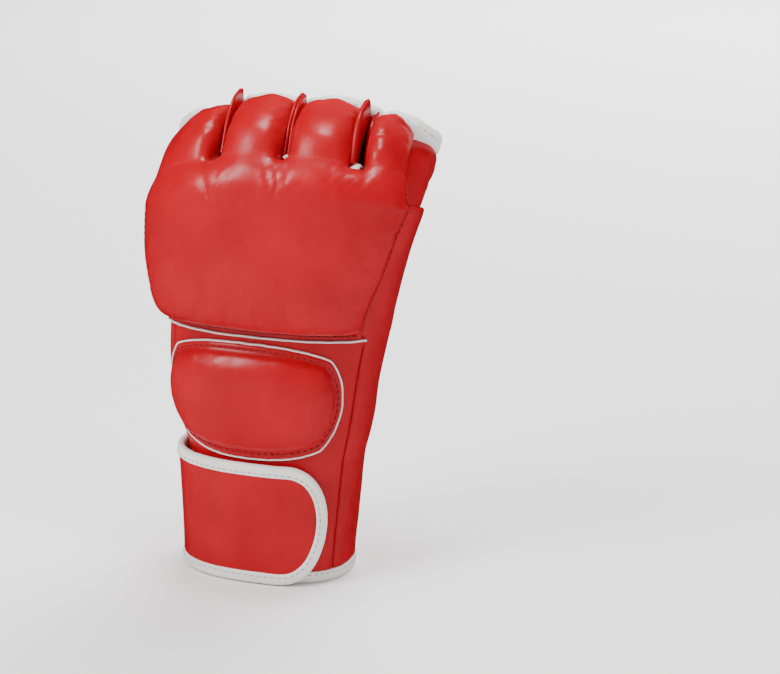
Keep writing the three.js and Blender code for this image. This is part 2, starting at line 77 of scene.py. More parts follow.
def aim(obj, azimuth, height, distance, target=TARGET):
    """Puts a camera or a lamp into the scene, looking at the target."""
    away = direction(azimuth, height)
    obj.location = target + away * distance
    obj.rotation_euler = away.to_track_quat("Z", "Y").to_euler()
    bpy.context.scene.collection.objects.link(obj)


camera_data = bpy.data.cameras.new("camera")
camera_data.lens = FOCAL
camera_data.shift_x, camera_data.shift_y = PICTURE_SHIFT
camera_data.clip_start = 0.05
camera = bpy.data.objects.new("camera", camera_data)
aim(camera, CAMERA_AZIMUTH, CAMERA_HEIGHT, CAMERA_DISTANCE)
camera.rotation_euler.rotate_axis("Z", math.radians(CAMERA_ROLL))
bpy.context.scene.camera = camera


def softbox(name, azimuth, height, distance, size, watts, target=TARGET, mirrored=True):
    """A rectangular light; one that isn't mirrored leaves no sheen on the leather."""
    light = bpy.data.lights.new(name, "AREA")
    light.shape = "RECTANGLE"
    light.size, light.size_y = size
    light.energy = watts
    lamp = bpy.data.objects.new(name, light)
    lamp.visible_glossy = mirrored
    aim(lamp, azimuth, height, distance, target)


softbox("key_light", -36, 34, 1.3, (0.42, 0.85), 19)
softbox("fill_light", 60, 30, 1.5, (0.3, 1.0), 6, mirrored=False)
softbox("top_light", 10, 84, 1.1, (0.35, 0.3), 8)
softbox("back_light", 168, 40, 1.5, (1.0, 0.8), 5, mirrored=False)
softbox("floor_light", 180, 62, 1.9, (2.6, 2.2), 190, Vector((0.2, 1.6, 0)), mirrored=False)


def new_material(name):
    """A material with its node tree and its shader."""
    material = bpy.data.materials.new(name)
    material.use_nodes = True
    return material, material.node_tree, material.node_tree.nodes["Principled BSDF"]


def feed(tree, shader, **inputs):
    """Sets a node's inputs by name, or links them where the value is another node's output."""
    for name, value in inputs.items():
        socket = shader.inputs[name.replace("_", " ")]
        if isinstance(value, bpy.types.NodeSocket):
            tree.links.new(value, socket)
        else:
            socket.default_value = value


FLOOR_REACH = 6.0
FLOOR_SHADE = (0.93, 0.93, 0.93, 1)
SKY_STRENGTH = 0.3


def stage_floor():
    mesh = bpy.data.meshes.new("floor")
    corners = [(x * FLOOR_REACH, y * FLOOR_REACH, 0) for x, y in ((-1, -1), (1, -1), (1, 1), (-1, 1))]
    mesh.from_pydata(corners, [], [(0, 1, 2, 3)])
    floor = bpy.data.objects.new("floor", mesh)
    bpy.context.scene.collection.objects.link(floor)
    material, tree, shader = new_material("floor_white")
    feed(tree, shader, Base_Color=FLOOR_SHADE, Roughness=0.9)
    mesh.materials.append(material)
    floor.visible_glossy = False  # the white floor would wash out the red


stage_floor()
world = bpy.data.worlds.new("studio")
bpy.context.scene.world = world
world.use_nodes = True
feed(world.node_tree, world.node_tree.nodes["Background"], Color=(1, 1, 1, 1), Strength=SKY_STRENGTH)
world.cycles_visibility.glossy = False

# ------------------------------------------------------------------ materials


def node(tree, kind, **inputs):
    made = tree.nodes.new(f"ShaderNode{kind}")
    feed(tree, made, **inputs)
    return made


def tones(tree, share, dark, light, low=0.0, high=1.0):
    """A colour that runs from dark, where the share is low, to light, where it is high."""
    made = node(tree, "ValToRGB", Fac=share)
    for element, position, colour in zip(made.color_ramp.elements, (low, high), (dark, light)):
        element.position = position
        element.color = (*colour, 1)
    return made.outputs["Color"]


def leather_material(name, dark, light, roughness, grain, coat):
    """Coated leather: fine pebbled grain, soft creases, cloudy colour and rubbed edges."""
    material, tree, shader = new_material(name)
    place = node(tree, "TexCoord").outputs["Object"]
    cloud = node(tree, "TexNoise", Vector=place, Scale=38.0, Detail=4.0, Roughness=0.55)
    colour = tones(tree, cloud.outputs["Fac"], dark, light, 0.3, 0.72)

    # Rubbed edges are a little paler.
    edge = node(tree, "NewGeometry").outputs["Pointiness"]
    rub = node(tree, "MapRange", Value=edge, From_Min=0.54, From_Max=0.66, To_Max=0.3)
    mix = node(tree, "Mix")
    mix.data_type = "RGBA"
    pale = tuple(min(1.0, c * 1.15 + 0.05) for c in light)
    feed(tree, mix, Factor=rub.outputs["Result"], A=colour, B=(*pale, 1))

    pebbles = node(tree, "TexVoronoi", Vector=place, Scale=grain)
    pebbles.feature = "SMOOTH_F1"
    creases = node(tree, "TexNoise", Vector=place, Scale=grain * 0.16, Detail=5.0, Roughness=0.6)
    crease = creases.outputs["Fac"]
    fine = node(tree, "Bump", Height=pebbles.outputs["Distance"], Strength=0.16, Distance=0.00012)
    fine.invert = True
    broad = node(tree, "Bump", Height=crease, Strength=0.25, Distance=0.0005)
    feed(tree, broad, Normal=fine.outputs["Normal"])
    gloss = node(tree, "MapRange", Value=crease, To_Min=roughness - 0.05, To_Max=roughness + 0.08)
    feed(tree, shader, Base_Color=mix.outputs["Result"], Normal=broad.outputs["Normal"])
    feed(tree, shader, Roughness=gloss.outputs["Result"], Specular_IOR_Level=0.3)
    feed(tree, shader, Coat_Weight=coat, Coat_Roughness=0.22)
    return material


def cloth_material(name, colour, scale, height, roughness=0.95, sheen=0.3):
    """Knit, nap or thread: a fine bump over a colour that varies a little."""
    material, tree, shader = new_material(name)
    place = node(tree, "TexCoord").outputs["Object"]
    fibres = node(tree, "TexNoise", Vector=place, Scale=scale, Detail=3.0, Roughness=0.7)
    specks = node(tree, "TexVoronoi", Vector=place, Scale=scale * 0.6)
    dark, light = [c * 0.6 for c in colour], [min(1, c * 1.3) for c in colour]
    tone = tones(tree, fibres.outputs["Fac"], dark, light)
    bump = node(tree, "Bump", Height=specks.outputs["Distance"], Strength=0.7, Distance=height)
    feed(tree, shader, Base_Color=tone, Roughness=roughness, Sheen_Weight=sheen)
    feed(tree, shader, Normal=bump.outputs["Normal"])
    return material


RED = leather_material("red_leather", (0.36, 0.0003, 0.006), (0.45, 0.0006, 0.009), 0.3, 1500, 0.05)
WHITE = leather_material("white_binding", (0.74, 0.72, 0.70), (0.84, 0.82, 0.80), 0.45, 1900, 0.05)
LINING = cloth_material("lining", (0.030, 0.030, 0.034), 1400, 0.0003)
HOOKS = cloth_material("hook_tape", (0.020, 0.020, 0.022), 900, 0.0009)
LOOPS = cloth_material("loop_tape", (0.028, 0.028, 0.030), 500, 0.0008, sheen=0.6)
RED_THREAD = cloth_material("red_thread", (0.20, 0.001, 0.002), 2500, 0.0001, 0.6, 0.1)
# White thread darkened to grey-pink with painted shade, so that its stitch rows show as dark dashes on the
# white tape.
WHITE_THREAD_PAINTED_SHADE = cloth_material("white_thread_painted_shade", (0.50, 0.42, 0.42), 2500, 0.0001, 0.6, 0.1)
RAW_EDGE = cloth_material("raw_edge", (0.72, 0.66, 0.65), 1800, 0.0002, 0.9, 0.1)

# ------------------------------------------------------------------ the hand shell's surface

# Height, half width, half depth, middle X and middle Y.
SHELL = np.array(
    [
        [0, 38.5, 33, -0.5, 0],
        [62, 43, 33, -1, 0],
        [84, 48.8, 33.5, -2.6, -0.5],
        [104, 51.8, 34, -2.8, -1],
        [127, 54.2, 35, -1.2, -1],
        [165, 60, 36, 1, -2],
        [206, 66, 36, 7, -2],
        [250, 67, 36, 11, -2],
    ],
    float,
)
SQUARENESS = 2.4
LEATHER = 1.8
SEAM_ANGLE = 28
THUMB_EDGE = 40
PINKY_EDGE = 124
PALM_SPLIT = (85, 95)
FLAP_TOP = 66
BAND_LOW, BAND_HIGH = 160, 186
TAPE = 6.0
PAD_SEAM_Z = 127
PAD_WIDTH_SHARE = 0.895
DEGREE = 0.8  # millimetres round the wrist, roughly
KNUCKLE_DEPTH = 29.0


def spline(table, at):
    """The table's other columns, smoothly interpolated over its first."""
    at = np.asarray(at, float)
    keys, values = table[:, 0], table[:, 1:]
    last = len(keys) - 1
    i = np.clip(np.searchsorted(keys, at) - 1, 0, last - 1)
    t = np.clip((at - keys[i]) / (keys[i + 1] - keys[i]), 0, 1)[..., None]
    p0, p1 = values[np.maximum(i - 1, 0)], values[i]
    p2, p3 = values[i + 1], values[np.minimum(i + 2, last)]
    v0, v1 = (p2 - p0) / 2, (p3 - p1) / 2
    cubic = (2 * p1 - 2 * p2 + v0 + v1) * t**3 + (-3 * p1 + 3 * p2 - 2 * v0 - v1) * t**2
    return np.moveaxis(cubic + v0 * t + p1, -1, 0)


def shell(angle, z, offset=0.0):
    """Points on the shell: angle 0 on the thumb side, -90 on the back, 90 on the palm."""
    half_width, half_depth, middle_x, middle_y = spline(SHELL, z)
    c, s = np.cos(np.radians(angle)), np.sin(np.radians(angle))
    power = 2 / SQUARENESS
    x = middle_x + (half_width + offset) * np.sign(c) * np.abs(c) ** power
    y = middle_y + (half_depth + offset) * np.sign(s) * np.abs(s) ** power
    return np.stack(np.broadcast_arrays(x, y, z), axis=-1).astype(float)


def shell_face(path):
    """Unit vectors out of the shell at the points of a path near it."""
    half_width, half_depth, middle_x, middle_y = spline(SHELL, path[:, 2])
    flat = np.stack([(path[:, 0] - middle_x) / half_width, (path[:, 1] - middle_y) / half_depth], -1)
    flat = np.abs(flat) ** (SQUARENESS - 1) * np.sign(flat)
    return unit(np.stack([flat[:, 0] / half_width, flat[:, 1] / half_depth, 0 * flat[:, 0]], -1))


def back_y(x, z):
    """Y of the back of the hand at a width and a height."""
    half_width, half_depth, middle_x, middle_y = spline(SHELL, z)
    share = np.minimum(np.abs((x - middle_x) / half_width), 1) ** SQUARENESS
    return middle_y - half_depth * (1 - share) ** (1 / SQUARENESS)


# ------------------------------------------------------------------ mesh helpers


def unit(v):
    return v / np.maximum(np.linalg.norm(v, axis=-1, keepdims=True), 1e-9)


def ramp(x, low, high):
    """A smooth step from 0 at low to 1 at high."""
    t = np.clip((x - low) / (high - low), 0, 1)
    return t * t * (3 - 2 * t)


def wobble(points, scale, seed=0.0):
    """Smooth noise from -1 to 1 at points in millimetres, with features of about 1/scale."""
    flat = points.reshape(-1, 3) * scale + seed * 17.3
    values = [noise.noise(Vector(p)) for p in flat]
    return np.array(values).reshape(points.shape[:-1])


def uneven(points, *waves):
    """A sum of noises, each given as scale, seed and height in millimetres."""
    return sum(wobble(points, scale, seed) * height for scale, seed, height in waves)


def make_object(name, vertices, faces, materials, face_materials=None, sharp=None):
    """A mesh from points in millimetres. Edges steeper than sharp degrees aren't smoothed over."""
    mesh = bpy.data.meshes.new(name)
    placed = (np.asarray(vertices) + SHIFT) * MM
    mesh.from_pydata(placed.tolist(), [], [tuple(int(i) for i in f) for f in faces])
    for material in materials:
        mesh.materials.append(material)
    if face_materials is not None:
        mesh.polygons.foreach_set("material_index", np.asarray(face_materials, np.int32))
    mesh.shade_smooth()
    if sharp:
        mesh.set_sharp_from_angle(angle=math.radians(sharp))
    mesh.validate()
    obj = bpy.data.objects.new(name, mesh)
    bpy.context.scene.collection.objects.link(obj)
    return obj


EDGE_TICKS = 1.2 * np.array([0, 0.06, 0.25, 0.55, 1.0])


def ticks(length, step):
    """Samples from 0 to 1 along a length, with closer ones at both ends for a rounded edge."""
    ends, edge = EDGE_TICKS, EDGE_TICKS[-1]
    count = max(2, int(round((length - 2 * edge) / step)))
    middle = np.linspace(edge, length - edge, count + 1)[1:-1]
    return np.concatenate([ends, middle, (length - ends)[::-1]]) / length


def grid_normals(points):
    """Unit normals of a grid; which side they're on depends on how the grid runs."""
    return unit(np.cross(np.gradient(points, axis=1), np.gradient(points, axis=0)))


def from_edge(points):
    """Distance of each grid point from the grid's nearest edge."""
    nearest = np.inf
    for axis in (0, 1):
        step = np.linalg.norm(np.diff(points, axis=axis), axis=-1)
        along = np.moveaxis(np.cumsum(step, axis=axis), axis, 0)
        along = np.vstack([0 * along[:1], along])
        nearest = np.minimum(nearest, np.moveaxis(np.minimum(along, along[-1:] - along), 0, axis))
    return nearest


def cells(index, round_columns=False, round_rows=False, flip=False):
    """The corners of every cell of a grid of vertex numbers, row by row."""
    if round_columns:
        index = np.hstack([index, index[:, :1]])
    if round_rows:
        index = np.vstack([index, index[:1]])
    corners = [index[:-1, :-1], index[:-1, 1:], index[1:, 1:], index[1:, :-1]]
    if flip:
        corners = [corners[0], *corners[:0:-1]]
    return np.stack(corners, -1).reshape(-1, 4)


def sheet_piece(name, points, thickness, materials=(RED, LINING), relief=None):
    """A closed sheet with rounded edges, half its thickness on each side of a grid of points."""
    normals = grid_normals(points)
    distance = from_edge(points)
    if relief is not None:
        points = points + normals * relief(points, distance)[..., None]
    share = np.sqrt(1 - (1 - np.minimum(distance / (thickness * 0.6), 1)) ** 2)
    swell = normals * (thickness / 2 * share)[..., None]
    inner = np.zeros(points.shape[:2], bool)
    inner[1:-1, 1:-1] = True
    front = np.arange(inner.size).reshape(inner.shape)
    back = front.copy()
    back[inner] = inner.size + np.arange(inner.sum())
    vertices = np.concatenate([(points + swell).reshape(-1, 3), (points - swell)[inner]])
    faces = np.stack([cells(front), cells(back)[:, ::-1]], 1).reshape(-1, 4)
    return make_object(name, vertices, faces, materials, [0, len(materials) - 1] * (len(faces) // 2))


def recalculate(obj):
    """Turns all the faces of a closed mesh outwards."""
    work = bmesh.new()
    work.from_mesh(obj.data)
    bmesh.ops.recalc_face_normals(work, faces=work.faces)
    work.to_mesh(obj.data)
    work.free()


def run_length(path):
    """Distance along a path to each of its points."""
    return np.concatenate([[0], np.cumsum(np.linalg.norm(np.diff(path, axis=0), axis=-1))])


def everywhere(path, way):
    """One direction, repeated for every point of a path."""
    return np.zeros_like(path) + np.array(way, float)


def resample(path, step, closed=False):
    """Points along a path at even steps of about the given length."""
    path = np.asarray(path, float)
    if closed:
        path = np.vstack([path, path[:1]])
    along = run_length(path)
    count = max(2, int(round(along[-1] / step)))
    at = np.linspace(0, along[-1], count + 1)
    points = np.stack([np.interp(at, along, path[:, k]) for k in range(3)], axis=-1)
    return points[:-1] if closed else points


STITCH_PITCH, STITCH_LENGTH = 3.4, 2.5
STITCH_SIDES = 6
# Share of a stitch's length, and of its radius there.
STITCH_RINGS = ((0.0, 0.15), (0.12, 0.8), (0.5, 1.0), (0.88, 0.8), (1.0, 0.15))


def stitches(name, path, up, material, radius=0.34, closed=False):
    """A row of sewn stitches along a path, each a short raised thread."""
    starts = resample(path, STITCH_PITCH, closed)
    nearest = [np.argmin(np.linalg.norm(np.asarray(path) - s, axis=1)) for s in starts]
    flat_up = unit(np.asarray(up)[nearest])
    ends = np.roll(starts, -1, axis=0)
    if not closed:
        starts, ends, flat_up = starts[:-1], ends[:-1], flat_up[:-1]
    turns = np.linspace(0, 2 * math.pi, STITCH_SIDES, endpoint=False)
    vertices, faces = [], []
    for start, end, normal in zip(starts, ends, flat_up):
        ahead = unit(end - start)
        side = unit(np.cross(ahead, normal))
        index = len(vertices) + np.arange(len(STITCH_RINGS) * STITCH_SIDES).reshape(-1, STITCH_SIDES)
        for share, width in STITCH_RINGS:
            centre = start + ahead * (share * STITCH_LENGTH) + normal * (0.1 - 0.3 * (2 * share - 1) ** 2)
            for turn in turns:
                arm = side * math.cos(turn) + normal * math.sin(turn)
                vertices.append(centre + arm * radius * width)
        faces += [*cells(index, True), index[0, ::-1], index[-1]]
    return make_object(name, np.array(vertices), faces, [material])


def dress(obj, slot, *nodes):
    """Hides the CAD nodes that a piece stands for; the slot is not used."""
    if nodes:
        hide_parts(*nodes)
    return obj


def place(obj, body, slot, *nodes):
    """Puts a stiff piece on one body."""
    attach(obj, body)
    return dress(obj, slot, *nodes)


def loft(name, rings, material, closed=True):
    """A solid through closed rings of points, joined end to end if closed and capped if not."""
    rings = np.asarray(rings, float)
    index = np.arange(rings.shape[0] * rings.shape[1]).reshape(rings.shape[:2])
    faces = [*cells(index, True, closed, flip=True)]
    if not closed:
        faces += [index[0], index[-1, ::-1]]
    obj = make_object(name, rings.reshape(-1, 3), faces, [material], sharp=50)
    recalculate(obj)
    return obj


def tape_profile(width, thickness):
    """A folded tape's section: flat faces, full-round outer edge, and a soft inner edge."""
    w, t = width / 2, thickness / 2
    points = []

    def arc(x, y, radius, start, turn, count):
        for a in np.radians(np.linspace(start, start + turn, count)):
            points.append((x + radius * math.cos(a), y + radius * math.sin(a)))

    inner = t * 0.4
    arc(w - t, 0, t, -90, 180, 8)
    arc(-w + inner, t - inner, inner, 90, 90, 4)
    arc(-w + inner, -t + inner, inner, 180, 90, 4)
    return np.array(points)


def raw_edge_profile(half, crown, shoulder):
    """A cut leather edge's section, with its foot sunk into the leather."""
    side = [(half, -0.7), (half, shoulder), (crown, shoulder + 0.2)]
    return np.array([(-half, -0.7), *side, (-crown, shoulder + 0.2), (-half, shoulder)])


def along_path(path, across, out, profile, shift=0.0, swell=1.0, lift=0.0):
    """A profile's rings along a path. Shift, swell and lift may vary from ring to ring."""
    shift, swell, lift = (np.broadcast_to(v, len(path))[:, None, None] for v in (shift, swell, lift))
    wide, tall = profile[None, :, :1] + shift, profile[None, :, 1:] * swell + lift
    return path[:, None] + across[:, None] * wide + out[:, None] * tall


def white_tape(name, path, edge, face, thickness, stray, swell):
    """Folded white tape and its two stitch rows, not yet on any body.

    The path is the middle of the tape, edge points at the bound edge and face out of the leather.
    """
    rings = along_path(path, edge, face, tape_profile(TAPE, thickness), stray, swell)
    made = [loft(name, rings, WHITE, closed=False)]
    for k, side in enumerate((1, -1)):
        seam = path - edge * (TAPE * 0.22) + face * (side * thickness / 2)
        made.append(stitches(f"{name}_stitches_{k}", seam, face * side, WHITE_THREAD_PAINTED_SHADE))
    return made


def binding(name, node_name, path, edge, face):
    """White tape round an edge of the hand's leather."""
    edge, face = unit(edge), unit(face)
    swell = 1 + 0.07 * np.sin(2 * np.pi * run_length(path) / STITCH_PITCH) + 0.05 * wobble(path, 0.2)
    stray = 0.25 * wobble(path, 0.12, 3.0)
    tape, *rows = white_tape(name, path, edge, face, LEATHER + 1.4, stray, swell)
    place(tape, "hand", "white_binding", node_name)
    for row in rows:
        place(row, "hand", "white_binding")


# ------------------------------------------------------------------ hand panels

BACK_FROM, BACK_TO = SEAM_ANGLE - 180, -SEAM_ANGLE
LOW = 2.5  # the panels run down inside the cuff's tape


def varying(bound):
    """A panel's bound as a function, whether it is given as one or as a number."""
    return bound if callable(bound) else (lambda t: bound + 0 * t)


def panel_points(start, end, low, high, offset=LEATHER / 2, step=2.2):
    """Grid over the shell. Low and high may vary across it, start and end with the height."""
    low_edge, high_edge, from_angle, to_angle = map(varying, (low, high, start, end))
    level = (low_edge(0.5) + high_edge(0.5)) / 2
    middle = shell(np.linspace(from_angle(level), to_angle(level), 40), level, offset)
    across = np.linalg.norm(np.diff(middle, axis=0), axis=1).sum()
    tall = abs(high_edge(0.5) - low_edge(0.5))
    u, v = np.meshgrid(ticks(across, step), ticks(tall, step))
    z = low_edge(u) + (high_edge(u) - low_edge(u)) * v
    return shell(from_angle(z) + (to_angle(z) - from_angle(z)) * u, z, offset)


def leather_relief(strength, seed):
    """Soft unevenness all over and short puckers where a panel is sewn."""

    def relief(points, distance):
        soft = uneven(points, (0.035, seed, 0.9), (0.09, seed, 0.4))
        pucker = wobble(points * np.array([1, 1, 0.5]), 0.3, seed) * np.exp(-distance / 5)
        bumps = strength * (soft * ramp(distance, 0, 12) + 0.8 * pucker * ramp(distance, 0, 2.5))
        return bumps - 0.9 * np.exp(-distance / 0.9)

    return relief


def thumb_side_start(z):
    """The thumb side panel runs on under the knuckle pad's corner."""
    return BACK_TO + 0.2 - 3 * ramp(z, 121, 127.5) - 9 * ramp(z, 127.5, 132)


def pinky_side_end(z):
    return BACK_FROM - 0.2 + 3 * ramp(z, 121, 129)


def thumb_top(u):
    return 197 - 14 * u


def pinky_top(u):
    return 192 - 14 * (1 - u)


PALM_FROM, PALM_TO = THUMB_EDGE + 0.7, PINKY_EDGE - 0.7
# Name, CAD node, strength of the relief, angles from and to, lowest and highest edge.
HAND_PANELS = (
    ("back", "back_panel", 0.5, BACK_FROM, BACK_TO, LOW, PAD_SEAM_Z + 2),
    ("thumb_side", "thumb_side_panel", 0.7, thumb_side_start, THUMB_EDGE + 2, LOW, thumb_top),
    ("pinky_side", "pinky_side_panel", 0.7, PINKY_EDGE - 362, pinky_side_end, LOW, pinky_top),
    ("thumb_flap", "thumb_wrist_flap", 0.4, PALM_FROM, PALM_SPLIT[0] - 1, LOW, FLAP_TOP - 2),
    ("pinky_flap", "pinky_wrist_flap", 0.4, PALM_SPLIT[1] + 1, PALM_TO, LOW, FLAP_TOP - 2),
    ("palm_band", "palm_band", 0.5, PALM_FROM, PALM_TO, BAND_LOW + 2, BAND_HIGH + 3),
)


def build_hand_panels():
    for seed, (name, node_name, strength, *bounds) in enumerate(HAND_PANELS, 1):
        relief = leather_relief(strength, seed)
        panel = sheet_piece(f"{name}_leather", panel_points(*bounds), LEATHER, relief=relief)
        place(panel, "hand", "red_leather", node_name)


def build_lining():
    """Black knit under the back panel and the knuckle pad."""
    points = panel_points(BACK_FROM, BACK_TO, LOW + 4, 191, -LEATHER / 2 - 0.2, 2.0)
    knit = sheet_piece("back_lining_knit", points, 1.0, (LINING, LINING), relief=leather_relief(0.4, 7))
    place(knit, "hand", "lining", "back_lining")


def shell_outward(angles, z):
    """Unit vectors out of the shell at a height."""
    return unit(shell(angles, z, 1.0) - shell(angles, z, -1.0)) * np.array([1, 1, 0])


def around(start, end, z, offset=LEATHER / 2, step=1.6):
    """Points and outward directions along the shell at one height."""
    angles = np.linspace(start, end, 400)
    points = shell(angles, z + 0 * angles, offset)
    along = run_length(points)
    angles = np.interp(np.arange(0, along[-1] + 1e-6, along[-1] / round(along[-1] / step)), along, angles)
    heights = z + 0 * angles
    return shell(angles, heights, offset), shell_outward(angles, heights)


def level_tape(name, node_name, start, end, z, edge_up):
    path, face = around(start, end, z)
    binding(name, node_name, path, everywhere(path, (0, 0, 1 if edge_up else -1)), face)


def upright_tape(name, node_name, angle, towards):
    z = np.arange(FLAP_TOP - 1, BAND_LOW + 2, 1.6)
    path = shell(angle + 0 * z, z, LEATHER / 2)
    face = shell_outward(angle + 0 * z, z)
    binding(name, node_name, path, unit(np.cross(UP, face)) * towards, face)


def build_bindings():
    level_tape("cuff_tape", "cuff_binding", PALM_SPLIT[1] - 360, PALM_SPLIT[0], 3.1, False)
    thumb, pinky = (THUMB_EDGE + 0.5, PALM_SPLIT[0]), (PALM_SPLIT[1], PINKY_EDGE - 0.5)
    level_tape("palm_band_tape", "palm_band_binding", thumb[0], pinky[1], BAND_LOW + 3, False)
    level_tape("thumb_flap_tape", "thumb_flap_binding", *thumb, FLAP_TOP - 3, True)
    level_tape("pinky_flap_tape", "pinky_flap_binding", *pinky, FLAP_TOP - 3, True)
    upright_tape("thumb_edge_tape", "thumb_edge_binding", THUMB_EDGE + 4.2, 1)
    upright_tape("pinky_edge_tape", "pinky_edge_binding", PINKY_EDGE - 4.2, -1)


# ------------------------------------------------------------------ knuckle pad

# Lowest and highest X, knuckle height, curl of the back and length of the straight end past it.
Finger = namedtuple("Finger", "name low high knuckle curl tip")
FINGERS = (
    Finger("pinky", -62, -22, 195, 74, 5),
    Finger("ring", -22, 11, 203, 76, 8),
    Finger("middle", 11, 45, 203, 70, 9),
    Finger("index", 45, 77, 198, 66, 7),
)
SLIT_HALVES = (1.7, 1.7, 2.7)  # half the width of each slit between the pads
STALL_BACK = 62
SLIT_FOOT = 21.0  # degrees past the knuckle line where the slits start
# Height and curl of the knuckles across the hand.
KNUCKLE_X = (-58, -50, -40, -22, -5, 28, 45, 61, 74)
KNUCKLE_HEIGHTS = (178, 187, 193, 200, 203, 203, 201, 198, 193)
KNUCKLE_CURLS = (70, 72, 74, 76, 76, 70, 67, 66, 66)
PAD_CELL = 1.5
CLOTH_SCALE = 0.02  # of the simulated skin, so that its cells are centimetres
CLOTH_FRAMES = 24
CLOTH = {
    "quality": 6,
    "mass": 0.15,
    "tension_stiffness": 12,
    "compression_stiffness": 12,
    "shear_stiffness": 6,
    "bending_stiffness": 0.05,
    "tension_damping": 8,
    "compression_damping": 8,
    "shear_damping": 8,
    "air_damping": 4,
    "vertex_group_mass": "held",
    "shrink_min": -0.05,
    "use_pressure": True,
    "uniform_pressure_force": 1.5,
}
WRINKLES = 0.65  # share of the simulated wrinkles that is kept
SKIN_ROUNDS = 2600  # of the membrane solver
PAD_CREST = 3.2  # the higher, the flatter the pad's crest
PAD_FOOT = 2.2  # thickness of the pad at its seams
SLIT_WALL = 8.0  # and along the slits
FLANGE_ROWS = 3  # rows of the grid in the flat margin that is sewn to the back panel
# X and the pad's thickness at its open ends.
PAD_TIPS = np.array(
    [[-55, 3.0], [-40, 6.0], [-24, 5.0], [-5, 7.5], [10, 6.0], [28, 9.0], [43, 6.5], [57, 8.5], [68, 3]]
)
# Row of the pad, as pad_base counts them, and how far the thumb edge is drawn in there.
THUMB_PULL = np.array(
    [[0, 6], [0.2, 4.2], [0.33, 1.2], [0.5, -0.6], [0.85, -1.2], [1.05, 2], [1.5, 2.2], [3, 3], [4, 3.6]]
)


def pad_tip(x):
    """The pad's thickness at its open end."""
    return np.interp(x, PAD_TIPS[:, 0], PAD_TIPS[:, 1])


def pad_x(share, z):
    """X across the pad. Its thumb side is drawn in over the hand, where the gusset shows."""
    half_width, _, middle_x, _ = spline(SHELL, z)
    across = 2 * share - 1
    waist = 0.075 * ramp(z, 127, 155) * (1 - ramp(z, 182, 203))
    return middle_x + across * PAD_WIDTH_SHARE * half_width * (1 - waist * np.clip(across, 0, 1))


def knuckle_y(finger):
    """Y of the axis that a finger's pad curls round."""
    return float(back_y((finger.low + finger.high) / 2, finger.knuckle)) + KNUCKLE_DEPTH


def finger_span(finger):
    """Lowest and highest X of a finger's pad."""
    middle = float(spline(SHELL, 203.0)[2])
    below, above = ((0, *SLIT_HALVES)[FINGERS.index(finger)], (*SLIT_HALVES, 0)[FINGERS.index(finger)])
    low = max(finger.low + below, middle - STALL_BACK + 1)
    return low, min(finger.high - above, middle + STALL_BACK - 1)


def tip_length(x):
    """Length of the straight end, shorter at a finger's corners."""
    total = np.zeros_like(x)
    for finger in FINGERS:
        low, high = finger_span(finger)
        share = (x - low) / (high - low)
        inside = (share > -0.01) & (share < 1.01)
        total[inside] = finger.tip - 3.2 * np.abs(2 * share[inside] - 1) ** 3
    return total


def pad_base(x_top, rows):
    """Points under the pad and their normals, for columns named by their X at the knuckles.

    A row is 0 to 1 up the hand, 1 to 2 round the knuckles to the slits' feet, 2 to 3 on to the end
    of the curl and 3 to 4 along the straight end.
    """
    x_top, rows = np.meshgrid(x_top, rows)
    knuckle_z = np.interp(x_top, KNUCKLE_X, KNUCKLE_HEIGHTS)
    curl = np.interp(x_top, KNUCKLE_X, KNUCKLE_CURLS)
    z = PAD_SEAM_Z + (knuckle_z - PAD_SEAM_Z) * np.clip(rows, 0, 1)
    turn = SLIT_FOOT * np.clip(rows - 1, 0, 1) + (curl - SLIT_FOOT) * np.clip(rows - 2, 0, 1)
    along = tip_length(x_top) * np.clip(rows - 3, 0, 1)
    least, most = pad_x(0, knuckle_z), pad_x(1, knuckle_z)
    x = pad_x((x_top - least) / (most - least), z)
    # The thumb edge keeps to the straight seam that it shares with the side panel.
    x = x - spline(THUMB_PULL, rows)[0] * np.clip((x_top - 48) / 20, 0, 1)
    s, c = np.sin(np.radians(turn)), np.cos(np.radians(turn))
    # The outermost columns take their depth from a little further in, where the shell is less steep.
    y = back_y(np.clip(x, pad_x(0.02, z), pad_x(0.98, z)), z)
    slope = back_y(x + 0.5, z) - back_y(x - 0.5, z)
    base = np.stack([x, y + KNUCKLE_DEPTH * (1 - c) + along * s, z + KNUCKLE_DEPTH * s + along * c], -1)
    normal = unit(np.stack([0.5 * slope * c, -c, s], -1))
    return base, normal


def inflate(points, fixed):
    """Height of a skin blown up over a grid, zero where fixed: a membrane under even pressure."""
    right = np.linalg.norm(points[:, 1:] - points[:, :-1], axis=-1)
    up = np.linalg.norm(points[1:] - points[:-1], axis=-1)
    dx = np.hstack([right[:, :1], (right[:, 1:] + right[:, :-1]) / 2, right[:, -1:]])
    dy = np.vstack([up[:1], (up[1:] + up[:-1]) / 2, up[-1:]])
    wide, tall = 1 / dx**2, 1 / dy**2
    weight = 2 * (wide + tall)
    u = np.zeros(points.shape[:2])
    for _ in range(SKIN_ROUNDS):
        near = np.pad(u, 1)
        pull = wide * (near[1:-1, 2:] + near[1:-1, :-2]) + tall * (near[2:, 1:-1] + near[:-2, 1:-1])
        u = np.where(fixed, 0, (1.0 + pull) / weight)
    return np.sqrt(2 * u)


